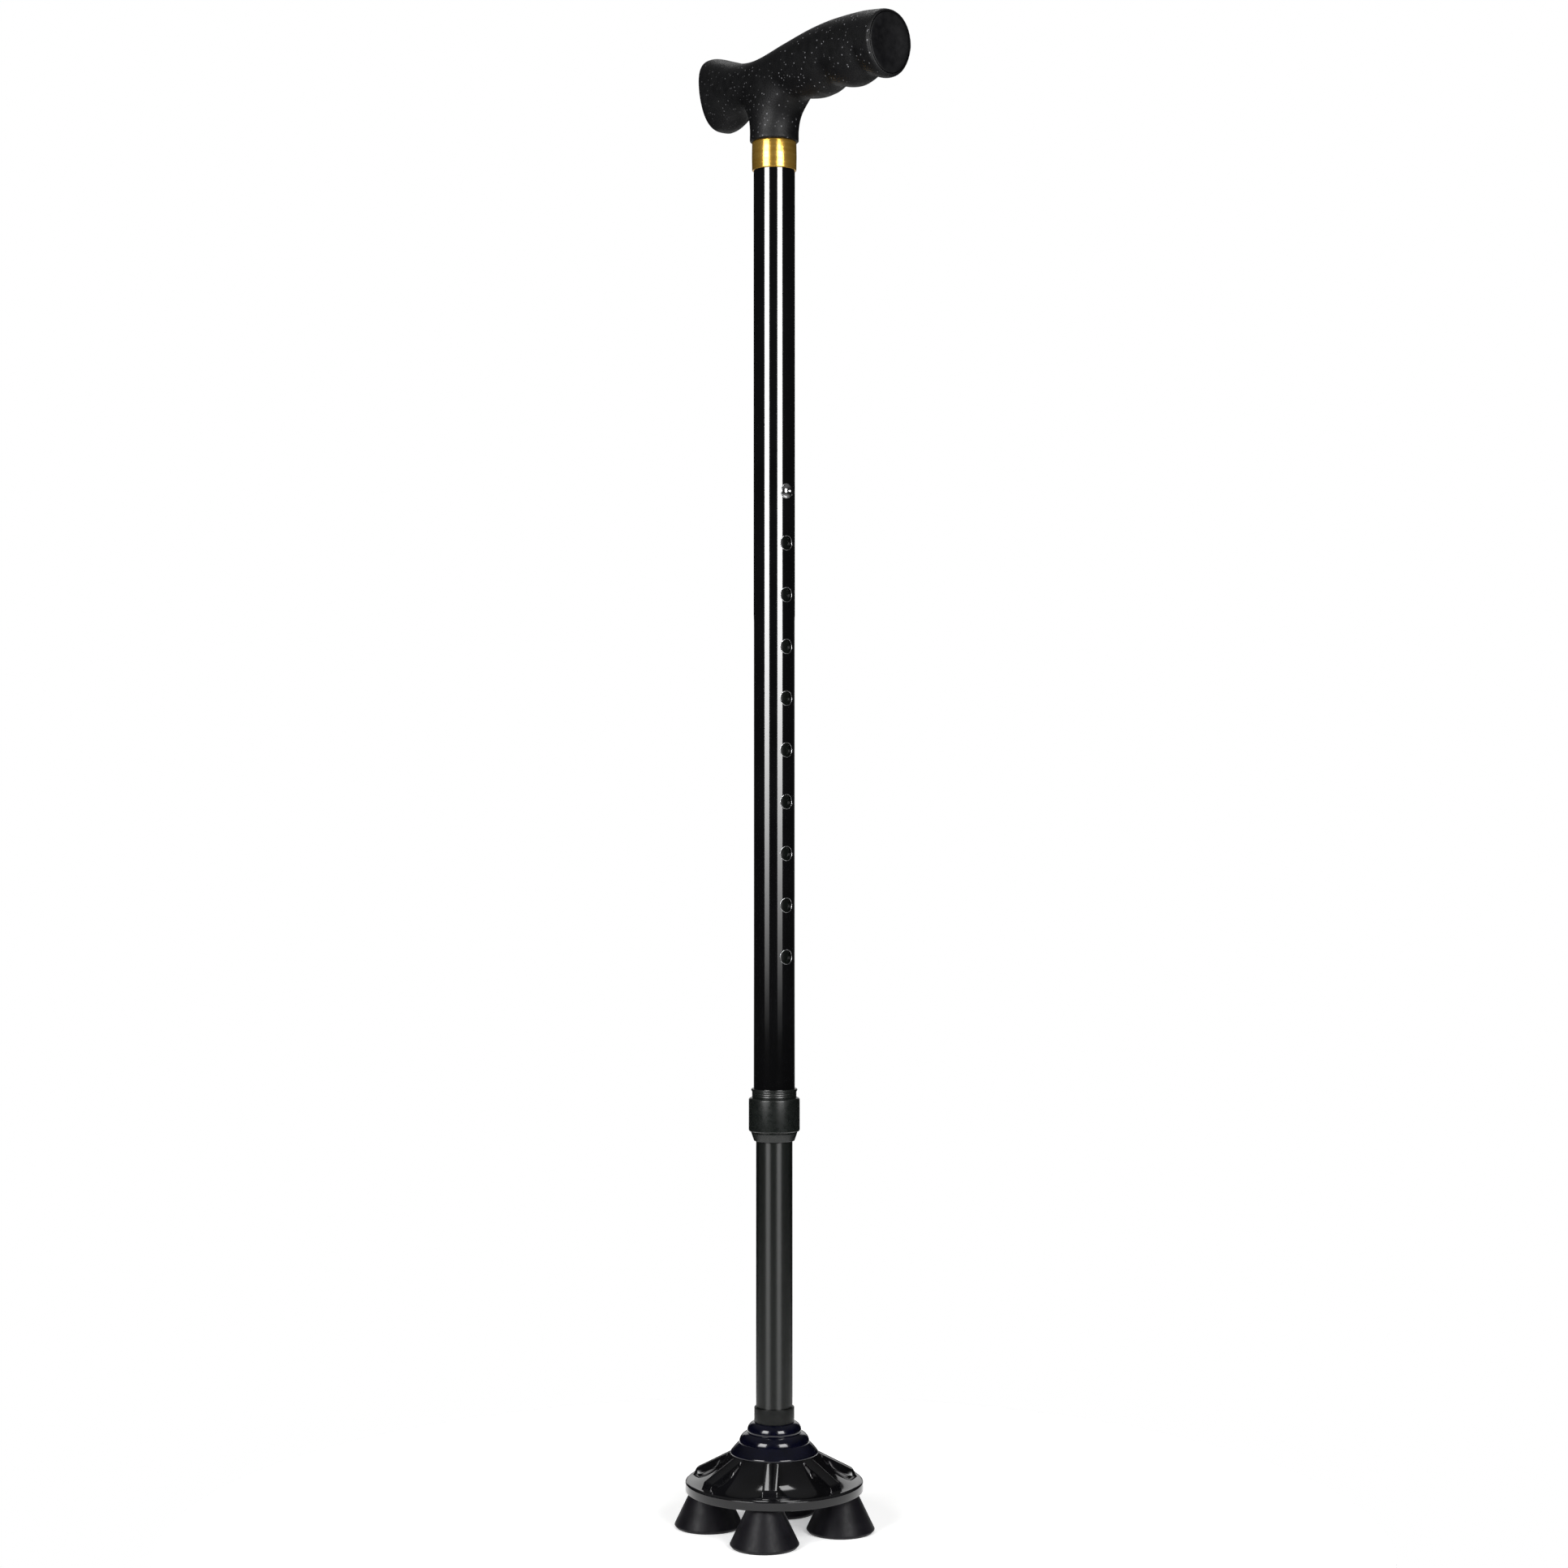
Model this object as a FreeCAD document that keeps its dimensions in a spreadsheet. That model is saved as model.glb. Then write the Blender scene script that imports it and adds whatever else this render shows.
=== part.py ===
import FreeCAD, Part
import math
import os
import Sketcher

# Walking cane on a four-footed pivoting base. Millimetres, +Z up, +X the way the handle's nose points.
# The origin is on the tube's axis, on the surface that the four feet stand on.

doc = FreeCAD.newDocument("QuadCane")

# Driving dimensions: each one is a cell of the sheet "Dims", under its own name.
sizes = {
    # feet
    "footRadius": 16.9, "footSoleRadius": 15.7, "footLip": 1.4, "footTopRadius": 7.8,
    "footCircle": 32.9, "footPocketRadius": 5.6, "footPocketTop": 10.0,
    "footScrewHole": 2.1, "footScrew": 2.0, "footScrewHead": 3.8, "footScrewHeadTop": 8.8,
    "footScrewHeadTall": 2.6, "footScrewEnd": 24.6, "washerRadius": 5.4,
    # base
    "plateBottom": 20.0, "plateTop": 22.0, "plateRadius": 41.2,
    "rimRadius": 43.85, "rimBottom": 19.7, "rimTop": 23.6, "rimInner": 41.3, "rimShoulder": 42.85,
    "flareFoot": 24.6, "flareRadius": 27.6, "flareTopRadius": 21.8, "flareTop": 37.7,
    "ceilingFoot": 22.6, "ceilingRadius": 27.0, "ceilingTopRadius": 20.2, "ceilingTop": 34.8,
    "hubRadius": 18.0, "hubBore": 13.0, "ribWidth": 8.0, "ribCount": 7, "ribTurn": -40.0,
    "ribFootRadius": 40.0, "ribFoot": 28.1, "ribRoot": 23.4, "ribEndRadius": 41.6,
    "bossRadius": 4.6, "bossTop": 25.4, "ribToe": 0.6, "screwCount": 3, "footCount": 4,
    # how far a cut runs past the face it opens, and the slack left under screws and pins
    "overcut": 1.0, "crossCut": 50.0, "screwSlack": 0.1, "pinInset": 0.05,
    # ball joint under the boot
    "ballCentre": 33.0, "ballRadius": 7.0, "linerInner": 7.06, "linerOuter": 9.0,
    "socketRadius": 9.06, "socketBody": 12.95,
    "ringTop": 39.4, "ringFlange": 17.2, "ringScrewCircle": 14.9,
    "ringScrewRadius": 1.2, "ringScrewHead": 2.05, "ringScrewHeadTall": 1.2, "ringScrewEnd": 29.0,
    "shankRadius": 3.5, "shankTop": 66.0, "jamNutFlats": 11.0, "jamNutTall": 4.0,
    # lower tube and what holds it
    "lowerRadius": 9.0, "lowerBore": 8.0, "lowerBottom": 50.0, "lowerTop": 529.0,
    "plugRadius": 7.95, "plugTop": 76.0, "plugFlange": 1.4, "pinRadius": 1.5, "stemPinHeight": 56.8,
    "sleeveRadius": 9.875, "sleeveBottom": 53.1, "sleeveTop": 60.5, "sleeveEdge": 0.35,
    "guideRadius": 9.15, "guideFlange": 3.0, "guideDepth": 8.0, "guideBore": 5.5,
    # boot
    "bootSkirtRadius": 21.7, "bootSkirtEdge": 0.7, "bootSkirtInner": 19.7,
    "bootWaistRadius": 17.0, "bootWaist": 43.2, "bootSkirtCurve": 30.0,
    "beadLowRadius": 3.6, "bootNeckRadius": 12.3, "bootNeck": 47.9, "beadHighRadius": 3.1,
    "bootLipRadius": 10.4, "bootGripBottom": 50.2, "bootNeckInner": 10.7,
    "bootBeadInner": 15.3, "bootBeadInnerHeight": 44.0, "bootWaistInner": 17.6, "bootWaistInnerHeight": 40.6,
    # upper tube
    "upperRadius": 10.2, "upperBore": 9.2, "upperBottom": 204.0, "upperTop": 684.1,
    "holePitch": 25.4, "holeCount": 10, "lowestHole": 282.7, "holeRadius": 3.55,
    # snap button and its spring
    "buttonRadius": 3.4, "buttonHole": 3.45, "buttonFlange": 4.0, "buttonInside": 5.9,
    "buttonFlangeFace": 6.8, "buttonSide": 10.6, "buttonTip": 12.1, "buttonDimple": 0.9,
    "buttonDimpleFace": 11.7, "buttonDome": 3.9,
    "springWidth": 7.0, "springGauge": 0.6, "springSpan": 13.0, "springBack": 7.1,
    "springBendOuter": 6.7, "springBendInner": 6.1, "springDrop": 32.0, "springRise": 6.0,
    # twist lock
    "lockFlangeRadius": 11.4, "lockFlangeBottom": 213.0, "lockFlangeTop": 217.4, "lockThread": 10.9,
    "lockFlangeBody": 11.1, "lockLipBottom": 216.5,
    "lockBottom": 203.0, "lockLip": 9.3, "nutRadius": 12.6, "nutBottom": 196.1, "nutEdge": 0.9,
    "nutTop": 212.9, "nutStepRadius": 11.35,
    "nutThread": 11.0, "nutShoulder": 202.5, "nutConeRadius": 10.4, "nutConeFoot": 194.0,
    "nutConeFootRadius": 9.6, "nutMouth": 9.25, "nutTail": 191.7, "nutTailRadius": 10.0,
    "nutTailTop": 195.6, "colletTop": 202.3, "colletBottom": 194.3, "colletTopRadius": 10.3,
    "colletBottomRadius": 9.55, "colletBore": 9.05, "colletSlit": 1.6,
    # collar and the core of the handle
    "collarRadius": 11.05, "collarBottom": 670.0, "collarEdge": 0.3,
    "coreRadius": 9.15, "coreBottom": 640.0, "coreNeckRadius": 7.5, "coreTop": 716.0, "coreBore": 5.5,
    "coreCap": 711.0, "handlePinHeight": 676.5,
    # handle
    "neckRadius": 12.1, "gripCorner": 9.6, "capDepth": 2.0, "capHalfWidth": 10.4, "capTop": 729.2,
    "capBottom": 701.4, "capCorner": 8.2, "neckCorner": 11.8,
}

# The grip is lofted through these sections: distance ahead of the axis, top, underside, half width.
gripSections = {
    "tailFace": (-51.0, 732.0, 702.5, 10.6),
    "tailEdge": (-49.6, 734.2, 699.6, 11.8),
    "tailPad": (-42.0, 734.2, 696.4, 12.4),
    "saddle": (-24.0, 727.6, 702.6, 12.0),
    "crown": (0.0, 726.2, 704.0, 12.8),
    "rise": (18.0, 728.9, 702.6, 13.5),
    "firstSwell": (37.0, 731.5, 699.2, 13.6),
    "groove": (52.0, 732.0, 702.3, 13.6),
    "secondSwell": (65.0, 731.9, 699.2, 13.6),
    "notch": (77.5, 731.6, 702.9, 13.2),
    "lip": (86.0, 731.4, 698.7, 13.2),
    "noseEdge": (89.4, 730.6, 699.6, 12.6),
    "noseFace": (90.5, 729.9, 700.6, 11.4),
}
for station, numbers in gripSections.items():
    for part, number in zip(("X", "Top", "Bottom", "Half"), numbers):
        sizes[station + part] = number

# The neck under the grip: height, reach behind the axis and ahead of it, half width.
neckSections = {
    "neckMid": (690.5, 12.2, 12.3, 12.0),
    "neckFlare": (697.0, 13.6, 14.6, 12.1),
    "neckBlend": (701.5, 17.0, 19.6, 12.1),
    "neckRoot": (707.0, 20.0, 26.0, 11.2),
}
for station, numbers in neckSections.items():
    for part, number in zip(("Height", "Behind", "Ahead", "Half"), numbers):
        sizes[station + part] = number

# The ball's liner is open above and below, at these angles from straight up.
for edge, degrees in (("linerTop", 44.0), ("linerLow", 150.0)):
    for face in ("Inner", "Outer"):
        radius = sizes["liner" + face]
        sizes[edge + face + "X"] = radius * math.sin(math.radians(degrees))
        sizes[edge + face + "Z"] = sizes["ballCentre"] + radius * math.cos(math.radians(degrees))
sizes["ringOpening"] = math.sqrt(sizes["socketRadius"] ** 2 - (sizes["ringTop"] - sizes["ballCentre"]) ** 2)
sizes["shankFoot"] = sizes["ballCentre"] + math.sqrt(sizes["ballRadius"] ** 2 - sizes["shankRadius"] ** 2)
sizes["buttonHeight"] = sizes["lowestHole"] + (sizes["holeCount"] - 1) * sizes["holePitch"]

sheet = doc.addObject("Spreadsheet::Sheet", "Dims")
for row, (name, number) in enumerate(sizes.items(), start=1):
    sheet.set(f"A{row}", name)
    sheet.set(f"B{row}", str(number))
    sheet.setAlias(f"B{row}", name)
doc.recompute()


def amount(text):
    """The number that a sum of sheet names and plain numbers comes to."""
    total, sign = 0.0, 1
    for word in str(text).split():
        if word in "+-":
            sign = -1 if word == "-" else 1
        else:
            total += sign * (sizes[word] if word in sizes else float(word))
            sign = 1
    return total


def formula(text):
    """The same sum, written as an expression on the sheet."""
    return " ".join("Dims." + word if word in sizes else word for word in str(text).split())


def bind(thing, prop, text):
    thing.setExpression(prop, formula(text))


def new_body(label):
    body = doc.addObject("PartDesign::Body", label)
    body.Label = label
    return body


def origin_item(body, role):
    return next(item for item in body.Origin.OriginFeatures if item.Role == role)


def new_sketch(body, role="XZ_Plane", offset=None, turn=0):
    """A sketch on one of the body's own planes, moved along its normal or turned round the Z axis."""
    sketch = body.newObject("Sketcher::SketchObject", body.Name + "_sketch")
    sketch.AttachmentSupport = [(origin_item(body, role), "")]
    sketch.MapMode = "FlatFace"
    up = FreeCAD.Vector(0, 0, 1) if role == "XY_Plane" else FreeCAD.Vector(0, 1, 0)
    sketch.AttachmentOffset = FreeCAD.Placement(FreeCAD.Vector(), FreeCAD.Rotation(up, turn))
    if offset is not None:
        bind(sketch, "AttachmentOffset.Base.z", offset)
    return sketch


def fix(sketch, kind, *refs, size):
    """A measured constraint, bound to the sheet."""
    index = sketch.addConstraint(Sketcher.Constraint(kind, *refs, amount(size)))
    bind(sketch, f"Constraints[{index}]", size)


def place(sketch, kind, geometry, end, where):
    """Hold a point at a signed distance from the sketch's origin, along "DistanceX" or "DistanceY"."""
    distance = amount(where)
    if distance == 0:
        axis = -2 if kind == "DistanceX" else -1
        sketch.addConstraint(Sketcher.Constraint("PointOnObject", geometry, end, axis))
    elif distance > 0:
        fix(sketch, kind, -1, 1, geometry, end, size=where)
    else:
        index = sketch.addConstraint(Sketcher.Constraint(kind, geometry, end, -1, 1, -distance))
        sketch.setExpression(f"Constraints[{index}]", f"-({formula(where)})")


def arc_through(start, end, radius, side):
    """The shorter arc from start to end. Its centre lies to the left of the chord for side 1."""
    chord = end - start
    height = math.sqrt(max(radius * radius - chord.Length ** 2 / 4, 0))
    left = FreeCAD.Vector(-chord.y, chord.x, 0).normalize()
    centre = (start + end) / 2 + left * height * side
    middle = centre - left * radius * side
    return Part.Arc(start, middle, end)


def draw_outline(sketch, outline):
    """A closed outline of corners (across, up). A corner may add an arc to the next: its radius and side."""
    spots = [FreeCAD.Vector(amount(corner[0]), amount(corner[1]), 0) for corner in outline]
    count = len(spots)
    begins, ends = [], []
    for index, corner in enumerate(outline):
        here, there = spots[index], spots[(index + 1) % count]
        if len(corner) == 2:
            sketch.addGeometry(Part.LineSegment(here, there))
            begins.append(1)
            ends.append(2)
            continue
        radius, side = corner[2:]
        sketch.addGeometry(arc_through(here, there, amount(radius), side))
        # an arc in a sketch runs anticlockwise, so it may start at the far corner
        begins.append(1 if side > 0 else 2)
        ends.append(2 if side > 0 else 1)
    for index, corner in enumerate(outline):
        after = (index + 1) % count
        sketch.addConstraint(Sketcher.Constraint("Coincident", index, ends[index], after, begins[after]))
        place(sketch, "DistanceX", index, begins[index], corner[0])
        place(sketch, "DistanceY", index, begins[index], corner[1])
        if len(corner) > 2:
            fix(sketch, "Radius", index, size=corner[2])


def draw_circle(sketch, radius, across="0", up="0"):
    centre = FreeCAD.Vector(amount(across), amount(up), 0)
    circle = sketch.addGeometry(Part.Circle(centre, FreeCAD.Vector(0, 0, 1), amount(radius)))
    place(sketch, "DistanceX", circle, 3, across)
    place(sketch, "DistanceY", circle, 3, up)
    fix(sketch, "Radius", circle, size=radius)


def draw_rounded(sketch, left, right, low, high, corner):
    """A rectangle with round corners, given by its four edges' signed places."""
    x0, x1, y0, y1 = amount(left), amount(right), amount(low), amount(high)
    r = amount(corner)
    point = FreeCAD.Vector
    lines = [
        ((x0 + r, y0), (x1 - r, y0)), ((x1, y0 + r), (x1, y1 - r)),
        ((x1 - r, y1), (x0 + r, y1)), ((x0, y1 - r), (x0, y0 + r)),
    ]
    middles = [(x1 - r, y0 + r), (x1 - r, y1 - r), (x0 + r, y1 - r), (x0 + r, y0 + r)]
    for number, (start, end) in enumerate(lines):
        sketch.addGeometry(Part.LineSegment(point(*start, 0), point(*end, 0)))
        circle = Part.Circle(point(*middles[number], 0), point(0, 0, 1), r)
        turn = math.radians(90 * (number - 1))
        sketch.addGeometry(Part.ArcOfCircle(circle, turn, turn + math.pi / 2))
    for number in range(4):
        line, arc, after = 2 * number, 2 * number + 1, (2 * number + 2) % 8
        sketch.addConstraint(Sketcher.Constraint("Tangent", line, 2, arc, 1))
        sketch.addConstraint(Sketcher.Constraint("Tangent", arc, 2, after, 1))
        sketch.addConstraint(Sketcher.Constraint("Vertical" if number % 2 else "Horizontal", line))
        if number:
            sketch.addConstraint(Sketcher.Constraint("Equal", 1, arc))
    fix(sketch, "Radius", 1, size=corner)
    place(sketch, "DistanceY", 0, 1, low)
    place(sketch, "DistanceY", 4, 1, high)
    place(sketch, "DistanceX", 2, 1, right)
    place(sketch, "DistanceX", 6, 1, left)


def revolve(body, outline, kind="PartDesign::Revolution"):
    """Turn an outline of (radius, height) corners once round the Z axis, as a solid or as a cut."""
    sketch = new_sketch(body)
    draw_outline(sketch, outline)
    turn = body.newObject(kind, body.Name + "_turn")
    turn.Profile = sketch
    turn.ReferenceAxis = (sketch, ["V_Axis"])
    turn.Angle = 360
    return turn


def pad(body, sketch, length, middle=False, reverse=False):
    feature = body.newObject("PartDesign::Pad", body.Name + "_pad")
    feature.Profile = sketch
    bind(feature, "Length", length)
    feature.Midplane = middle
    feature.Reversed = reverse
    return feature


def pocket(body, sketch, length, reverse=False, middle=False):
    feature = body.newObject("PartDesign::Pocket", body.Name + "_pocket")
    feature.Profile = sketch
    bind(feature, "Length", length)
    feature.Reversed = reverse
    feature.Midplane = middle
    return feature


def around(body, feature, count):
    """Repeat a feature evenly round the Z axis."""
    pattern = body.newObject("PartDesign::PolarPattern", body.Name + "_ring")
    pattern.Originals = [feature]
    pattern.Axis = (origin_item(body, "Z_Axis"), [""])
    pattern.Angle = 360
    bind(pattern, "Occurrences", count)
    body.Tip = pattern
    return pattern


def bore(body, radius, start, depth, across="0", turn=0):
    """A round hole that runs up from the height start."""
    sketch = new_sketch(body, "XY_Plane", start, turn)
    draw_circle(sketch, radius, across)
    return pocket(body, sketch, depth, reverse=True)


def cross_hole(body, radius, height):
    """A round hole from side to side, along the Y axis."""
    sketch = new_sketch(body)
    draw_circle(sketch, radius, "0", height)
    return pocket(body, sketch, "crossCut", middle=True)


def front_hole(body, radius, height, depth):
    """A round hole from the axis out through the front wall."""
    sketch = new_sketch(body, "YZ_Plane")
    draw_circle(sketch, radius, "0", height)
    return pocket(body, sketch, depth, reverse=True)


def tube_outline(inner, outer, low, high):
    return [(inner, low), (outer, low), (outer, high), (inner, high)]


def turned(label, outline):
    """A body that is one outline turned round the Z axis."""
    body = new_body(label)
    revolve(body, outline)
    return body


# Base: a ribbed shell with a hub in its middle, closed underneath by a plate that carries the feet.

FOOT_TURN = 45.0


def make_base_shell():
    body = turned("base_shell", [
        ("0", "rimBottom"), ("rimRadius", "rimBottom"), ("rimRadius", "rimTop"),
        ("rimShoulder", "flareFoot", "flareRadius", -1), ("flareTopRadius", "flareTop"),
        ("0", "flareTop"),
    ])
    sketch = new_sketch(body, turn=sizes["ribTurn"])
    draw_outline(sketch, [
        ("hubRadius", "ribRoot"), ("ribEndRadius", "ribRoot"), ("ribEndRadius", "flareFoot + ribToe"),
        ("ribFootRadius", "ribFoot"), ("flareTopRadius", "flareTop"), ("hubRadius", "flareTop"),
    ])
    around(body, pad(body, sketch, "ribWidth", middle=True), "ribCount")
    doc.recompute()
    revolve(body, [
        ("hubRadius", "0"), ("rimInner", "0"), ("rimInner", "ceilingFoot", "ceilingRadius", -1),
        ("ceilingTopRadius", "ceilingTop"), ("hubRadius", "ceilingTop"),
    ], "PartDesign::Groove")
    bore(body, "hubRadius", "0", "plateTop")
    bore(body, "hubBore", "0", "flareTop + overcut")
    sketch = new_sketch(body, "XY_Plane", "plateTop", FOOT_TURN)
    draw_circle(sketch, "bossRadius", "footCircle")
    around(body, pad(body, sketch, "bossTop - plateTop"), "footCount")
    doc.recompute()
    around(body, bore(body, "footScrew", "0", "footScrewEnd + screwSlack", "footCircle", FOOT_TURN),
           "footCount")
    doc.recompute()
    around(body, bore(body, "ringScrewRadius", "ringScrewEnd - screwSlack", "plateBottom", "ringScrewCircle"),
           "screwCount")
    return body


def make_base_plate():
    body = turned("base_plate", [
        ("0", "plateBottom"), ("plateRadius", "plateBottom"), ("plateRadius", "plateTop"),
        ("0", "plateTop"),
    ])
    around(body, bore(body, "footScrewHole", "0", "plateTop + overcut", "footCircle", FOOT_TURN),
           "footCount")
    return body


def make_foot(label, turn):
    body = turned(label, [
        ("footPocketRadius", "0"), ("footSoleRadius", "0"), ("footRadius", "footLip"),
        ("footTopRadius", "plateBottom"), ("footScrewHole", "plateBottom"),
        ("footScrewHole", "footPocketTop"), ("footPocketRadius", "footPocketTop"),
    ])
    away = FreeCAD.Rotation(FreeCAD.Vector(0, 0, 1), turn)
    body.Placement = FreeCAD.Placement(away.multVec(FreeCAD.Vector(sizes["footCircle"], 0, 0)), away)
    return body


def make_ring_of_studs(label, count, circle, turn, steps):
    """Evenly spaced round pieces, each a stack of (radius, bottom, length) steps."""
    body = new_body(label)
    body.AllowCompound = True
    pads = []
    for radius, low, length in steps:
        sketch = new_sketch(body, "XY_Plane", low, turn)
        draw_circle(sketch, radius, circle)
        pads.append(pad(body, sketch, length))
    pattern = around(body, pads[0], count)
    pattern.Originals = pads
    return body


def make_foot_washers():
    body = make_ring_of_studs("foot_washers", "4", "footCircle", FOOT_TURN,
                              [("washerRadius", "footScrewHeadTop", "footPocketTop - footScrewHeadTop")])
    doc.recompute()
    around(body, bore(body, "footScrewHole", "0", "footPocketTop + overcut", "footCircle", FOOT_TURN),
           "footCount")
    return body


# Ball joint: a steel ball in a nylon liner, held between a socket and a ring inside the hub.

def make_ball_socket():
    return turned("ball_socket", [
        ("0", "plateTop"), ("socketBody", "plateTop"), ("socketBody", "ballCentre"),
        ("socketRadius", "ballCentre", "socketRadius", -1), ("0", "ballCentre - socketRadius"),
    ])


def make_retaining_ring():
    body = turned("retaining_ring", [
        ("socketRadius", "ballCentre"), ("socketBody", "ballCentre"), ("socketBody", "flareTop"),
        ("ringFlange", "flareTop"), ("ringFlange", "ringTop"),
        ("ringOpening", "ringTop", "socketRadius", -1),
    ])
    around(body, bore(body, "ringScrewRadius", "0", "ringTop + overcut", "ringScrewCircle"),
           "screwCount")
    doc.recompute()
    around(body, bore(body, "ringScrewHead", "ringTop - ringScrewHeadTall",
                      "ringScrewHeadTall + overcut", "ringScrewCircle"), "screwCount")
    return body


def make_pivot_liner():
    return turned("pivot_liner", [
        ("linerLowInnerX", "linerLowInnerZ"), ("linerLowOuterX", "linerLowOuterZ", "linerOuter", 1),
        ("linerTopOuterX", "linerTopOuterZ"), ("linerTopInnerX", "linerTopInnerZ", "linerInner", -1),
    ])


def make_ball_stud():
    body = turned("ball_stud", [
        ("0", "ballCentre - ballRadius", "ballRadius", 1), ("shankRadius", "shankFoot"),
        ("shankRadius", "shankTop"), ("0", "shankTop"),
    ])
    cross_hole(body, "pinRadius", "stemPinHeight")
    return body


def make_jam_nut():
    nut = doc.addObject("Part::Prism", "jam_nut_hexagon")
    nut.Polygon = 6
    bind(nut, "Height", "jamNutTall")
    nut.setExpression("Circumradius", "Dims.jamNutFlats / sqrt(3)")
    hole = doc.addObject("Part::Cylinder", "jam_nut_thread")
    bind(hole, "Radius", "shankRadius")
    bind(hole, "Height", "jamNutTall")
    cut = doc.addObject("Part::Cut", "jam_nut")
    cut.Base = nut
    cut.Tool = hole
    bind(cut, "Placement.Base.z", "lowerBottom - plugFlange - jamNutTall")
    return cut


def make_stem_plug():
    body = turned("stem_plug", [
        ("shankRadius", "lowerBottom - plugFlange"), ("lowerRadius", "lowerBottom - plugFlange"),
        ("lowerRadius", "lowerBottom"), ("plugRadius", "lowerBottom"), ("plugRadius", "plugTop"),
        ("0", "plugTop"), ("0", "shankTop"), ("shankRadius", "shankTop"),
    ])
    cross_hole(body, "pinRadius", "stemPinHeight")
    return body


def make_pin(label, height, half_length):
    """A plain pin through a tube, along the Y axis."""
    pin = doc.addObject("Part::Cylinder", label)
    bind(pin, "Radius", "pinRadius")
    bind(pin, "Height", f"{half_length} + {half_length}")
    pin.Placement.Rotation = FreeCAD.Rotation(FreeCAD.Vector(1, 0, 0), 90)
    bind(pin, "Placement.Base.y", half_length)
    bind(pin, "Placement.Base.z", height)
    return pin


def make_neck_sleeve():
    return turned("neck_sleeve", [
        ("lowerRadius", "sleeveBottom"), ("sleeveRadius", "sleeveBottom"),
        ("sleeveRadius", "sleeveTop - sleeveEdge"), ("sleeveRadius - sleeveEdge", "sleeveTop"),
        ("lowerRadius", "sleeveTop"),
    ])


def make_rubber_boot():
    return turned("rubber_boot", [
        ("bootSkirtInner", "flareTop"), ("bootSkirtRadius", "flareTop"),
        ("bootSkirtRadius", "flareTop + bootSkirtEdge", "bootSkirtCurve", 1),
        ("bootWaistRadius", "bootWaist", "beadLowRadius", 1),
        ("bootNeckRadius", "bootNeck", "beadHighRadius", 1),
        ("bootLipRadius", "sleeveBottom"), ("lowerRadius", "sleeveBottom"),
        ("lowerRadius", "bootGripBottom"), ("bootNeckInner", "bootNeck"),
        ("bootBeadInner", "bootBeadInnerHeight"), ("bootWaistInner", "bootWaistInnerHeight"),
    ])


# Telescoping tubes, the snap button between them and the twist lock below it.

def make_lower_tube():
    body = turned("lower_tube", tube_outline("lowerBore", "lowerRadius", "lowerBottom", "lowerTop"))
    cross_hole(body, "pinRadius", "stemPinHeight")
    front_hole(body, "buttonHole", "buttonHeight", "lowerRadius + overcut")
    return body


def make_guide_bush():
    return turned("guide_bush", [
        ("guideBore", "lowerTop - guideDepth"), ("plugRadius", "lowerTop - guideDepth"),
        ("plugRadius", "lowerTop"), ("guideRadius", "lowerTop"),
        ("guideRadius", "lowerTop + guideFlange"), ("guideBore", "lowerTop + guideFlange"),
    ])


def make_snap_button():
    """Turned upright, then laid over so that its dome points forward."""
    body = turned("snap_button", [
        ("0", "buttonInside"), ("buttonFlange", "buttonInside"), ("buttonFlange", "buttonFlangeFace"),
        ("buttonRadius", "buttonFlangeFace"), ("buttonRadius", "buttonSide", "buttonDome", 1),
        ("buttonDimple", "buttonTip"), ("0", "buttonDimpleFace"),
    ])
    body.Placement.Rotation = FreeCAD.Rotation(FreeCAD.Vector(0, 1, 0), 90)
    bind(body, "Placement.Base.z", "buttonHeight")
    return body


def make_button_spring():
    """A U of flat spring strip: its front leg carries the button, its rear leg lies on the tube."""
    body = new_body("button_spring")
    sketch = new_sketch(body)
    draw_outline(sketch, [
        ("0", "buttonHeight - springDrop", "springBendOuter", 1),
        ("springSpan", "buttonHeight - springDrop"), ("springSpan", "buttonHeight + springRise"),
        ("springSpan - springGauge", "buttonHeight + springRise"),
        ("springSpan - springGauge", "buttonHeight - springDrop", "springBendInner", -1),
        ("springGauge", "buttonHeight - springDrop"), ("springGauge", "buttonHeight + springRise"),
        ("0", "buttonHeight + springRise"),
    ])
    pad(body, sketch, "springWidth", middle=True)
    body.setExpression("Placement.Base.x", "-Dims.springBack")
    return body


def make_upper_tube():
    body = turned("upper_tube", tube_outline("upperBore", "upperRadius", "upperBottom", "upperTop"))
    cross_hole(body, "pinRadius", "handlePinHeight")
    hole = front_hole(body, "holeRadius", "lowestHole", "upperRadius + overcut")
    row_of_holes = body.newObject("PartDesign::LinearPattern", "upper_tube_holes")
    row_of_holes.Originals = [hole]
    row_of_holes.Direction = (origin_item(body, "Z_Axis"), [""])
    bind(row_of_holes, "Length", "buttonHeight - lowestHole")
    bind(row_of_holes, "Occurrences", "holeCount")
    body.Tip = row_of_holes
    return body


def make_lock_socket():
    return turned("lock_socket", [
        ("lockLip", "lockBottom"), ("lockThread", "lockBottom"), ("lockThread", "lockFlangeBottom"),
        ("lockFlangeBody", "lockFlangeBottom"), ("lockFlangeBody", "lockLipBottom"),
        ("lockFlangeRadius", "lockLipBottom"), ("lockFlangeRadius", "lockFlangeTop"),
        ("upperRadius", "lockFlangeTop"), ("upperRadius", "upperBottom"), ("lockLip", "upperBottom"),
    ])


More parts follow.
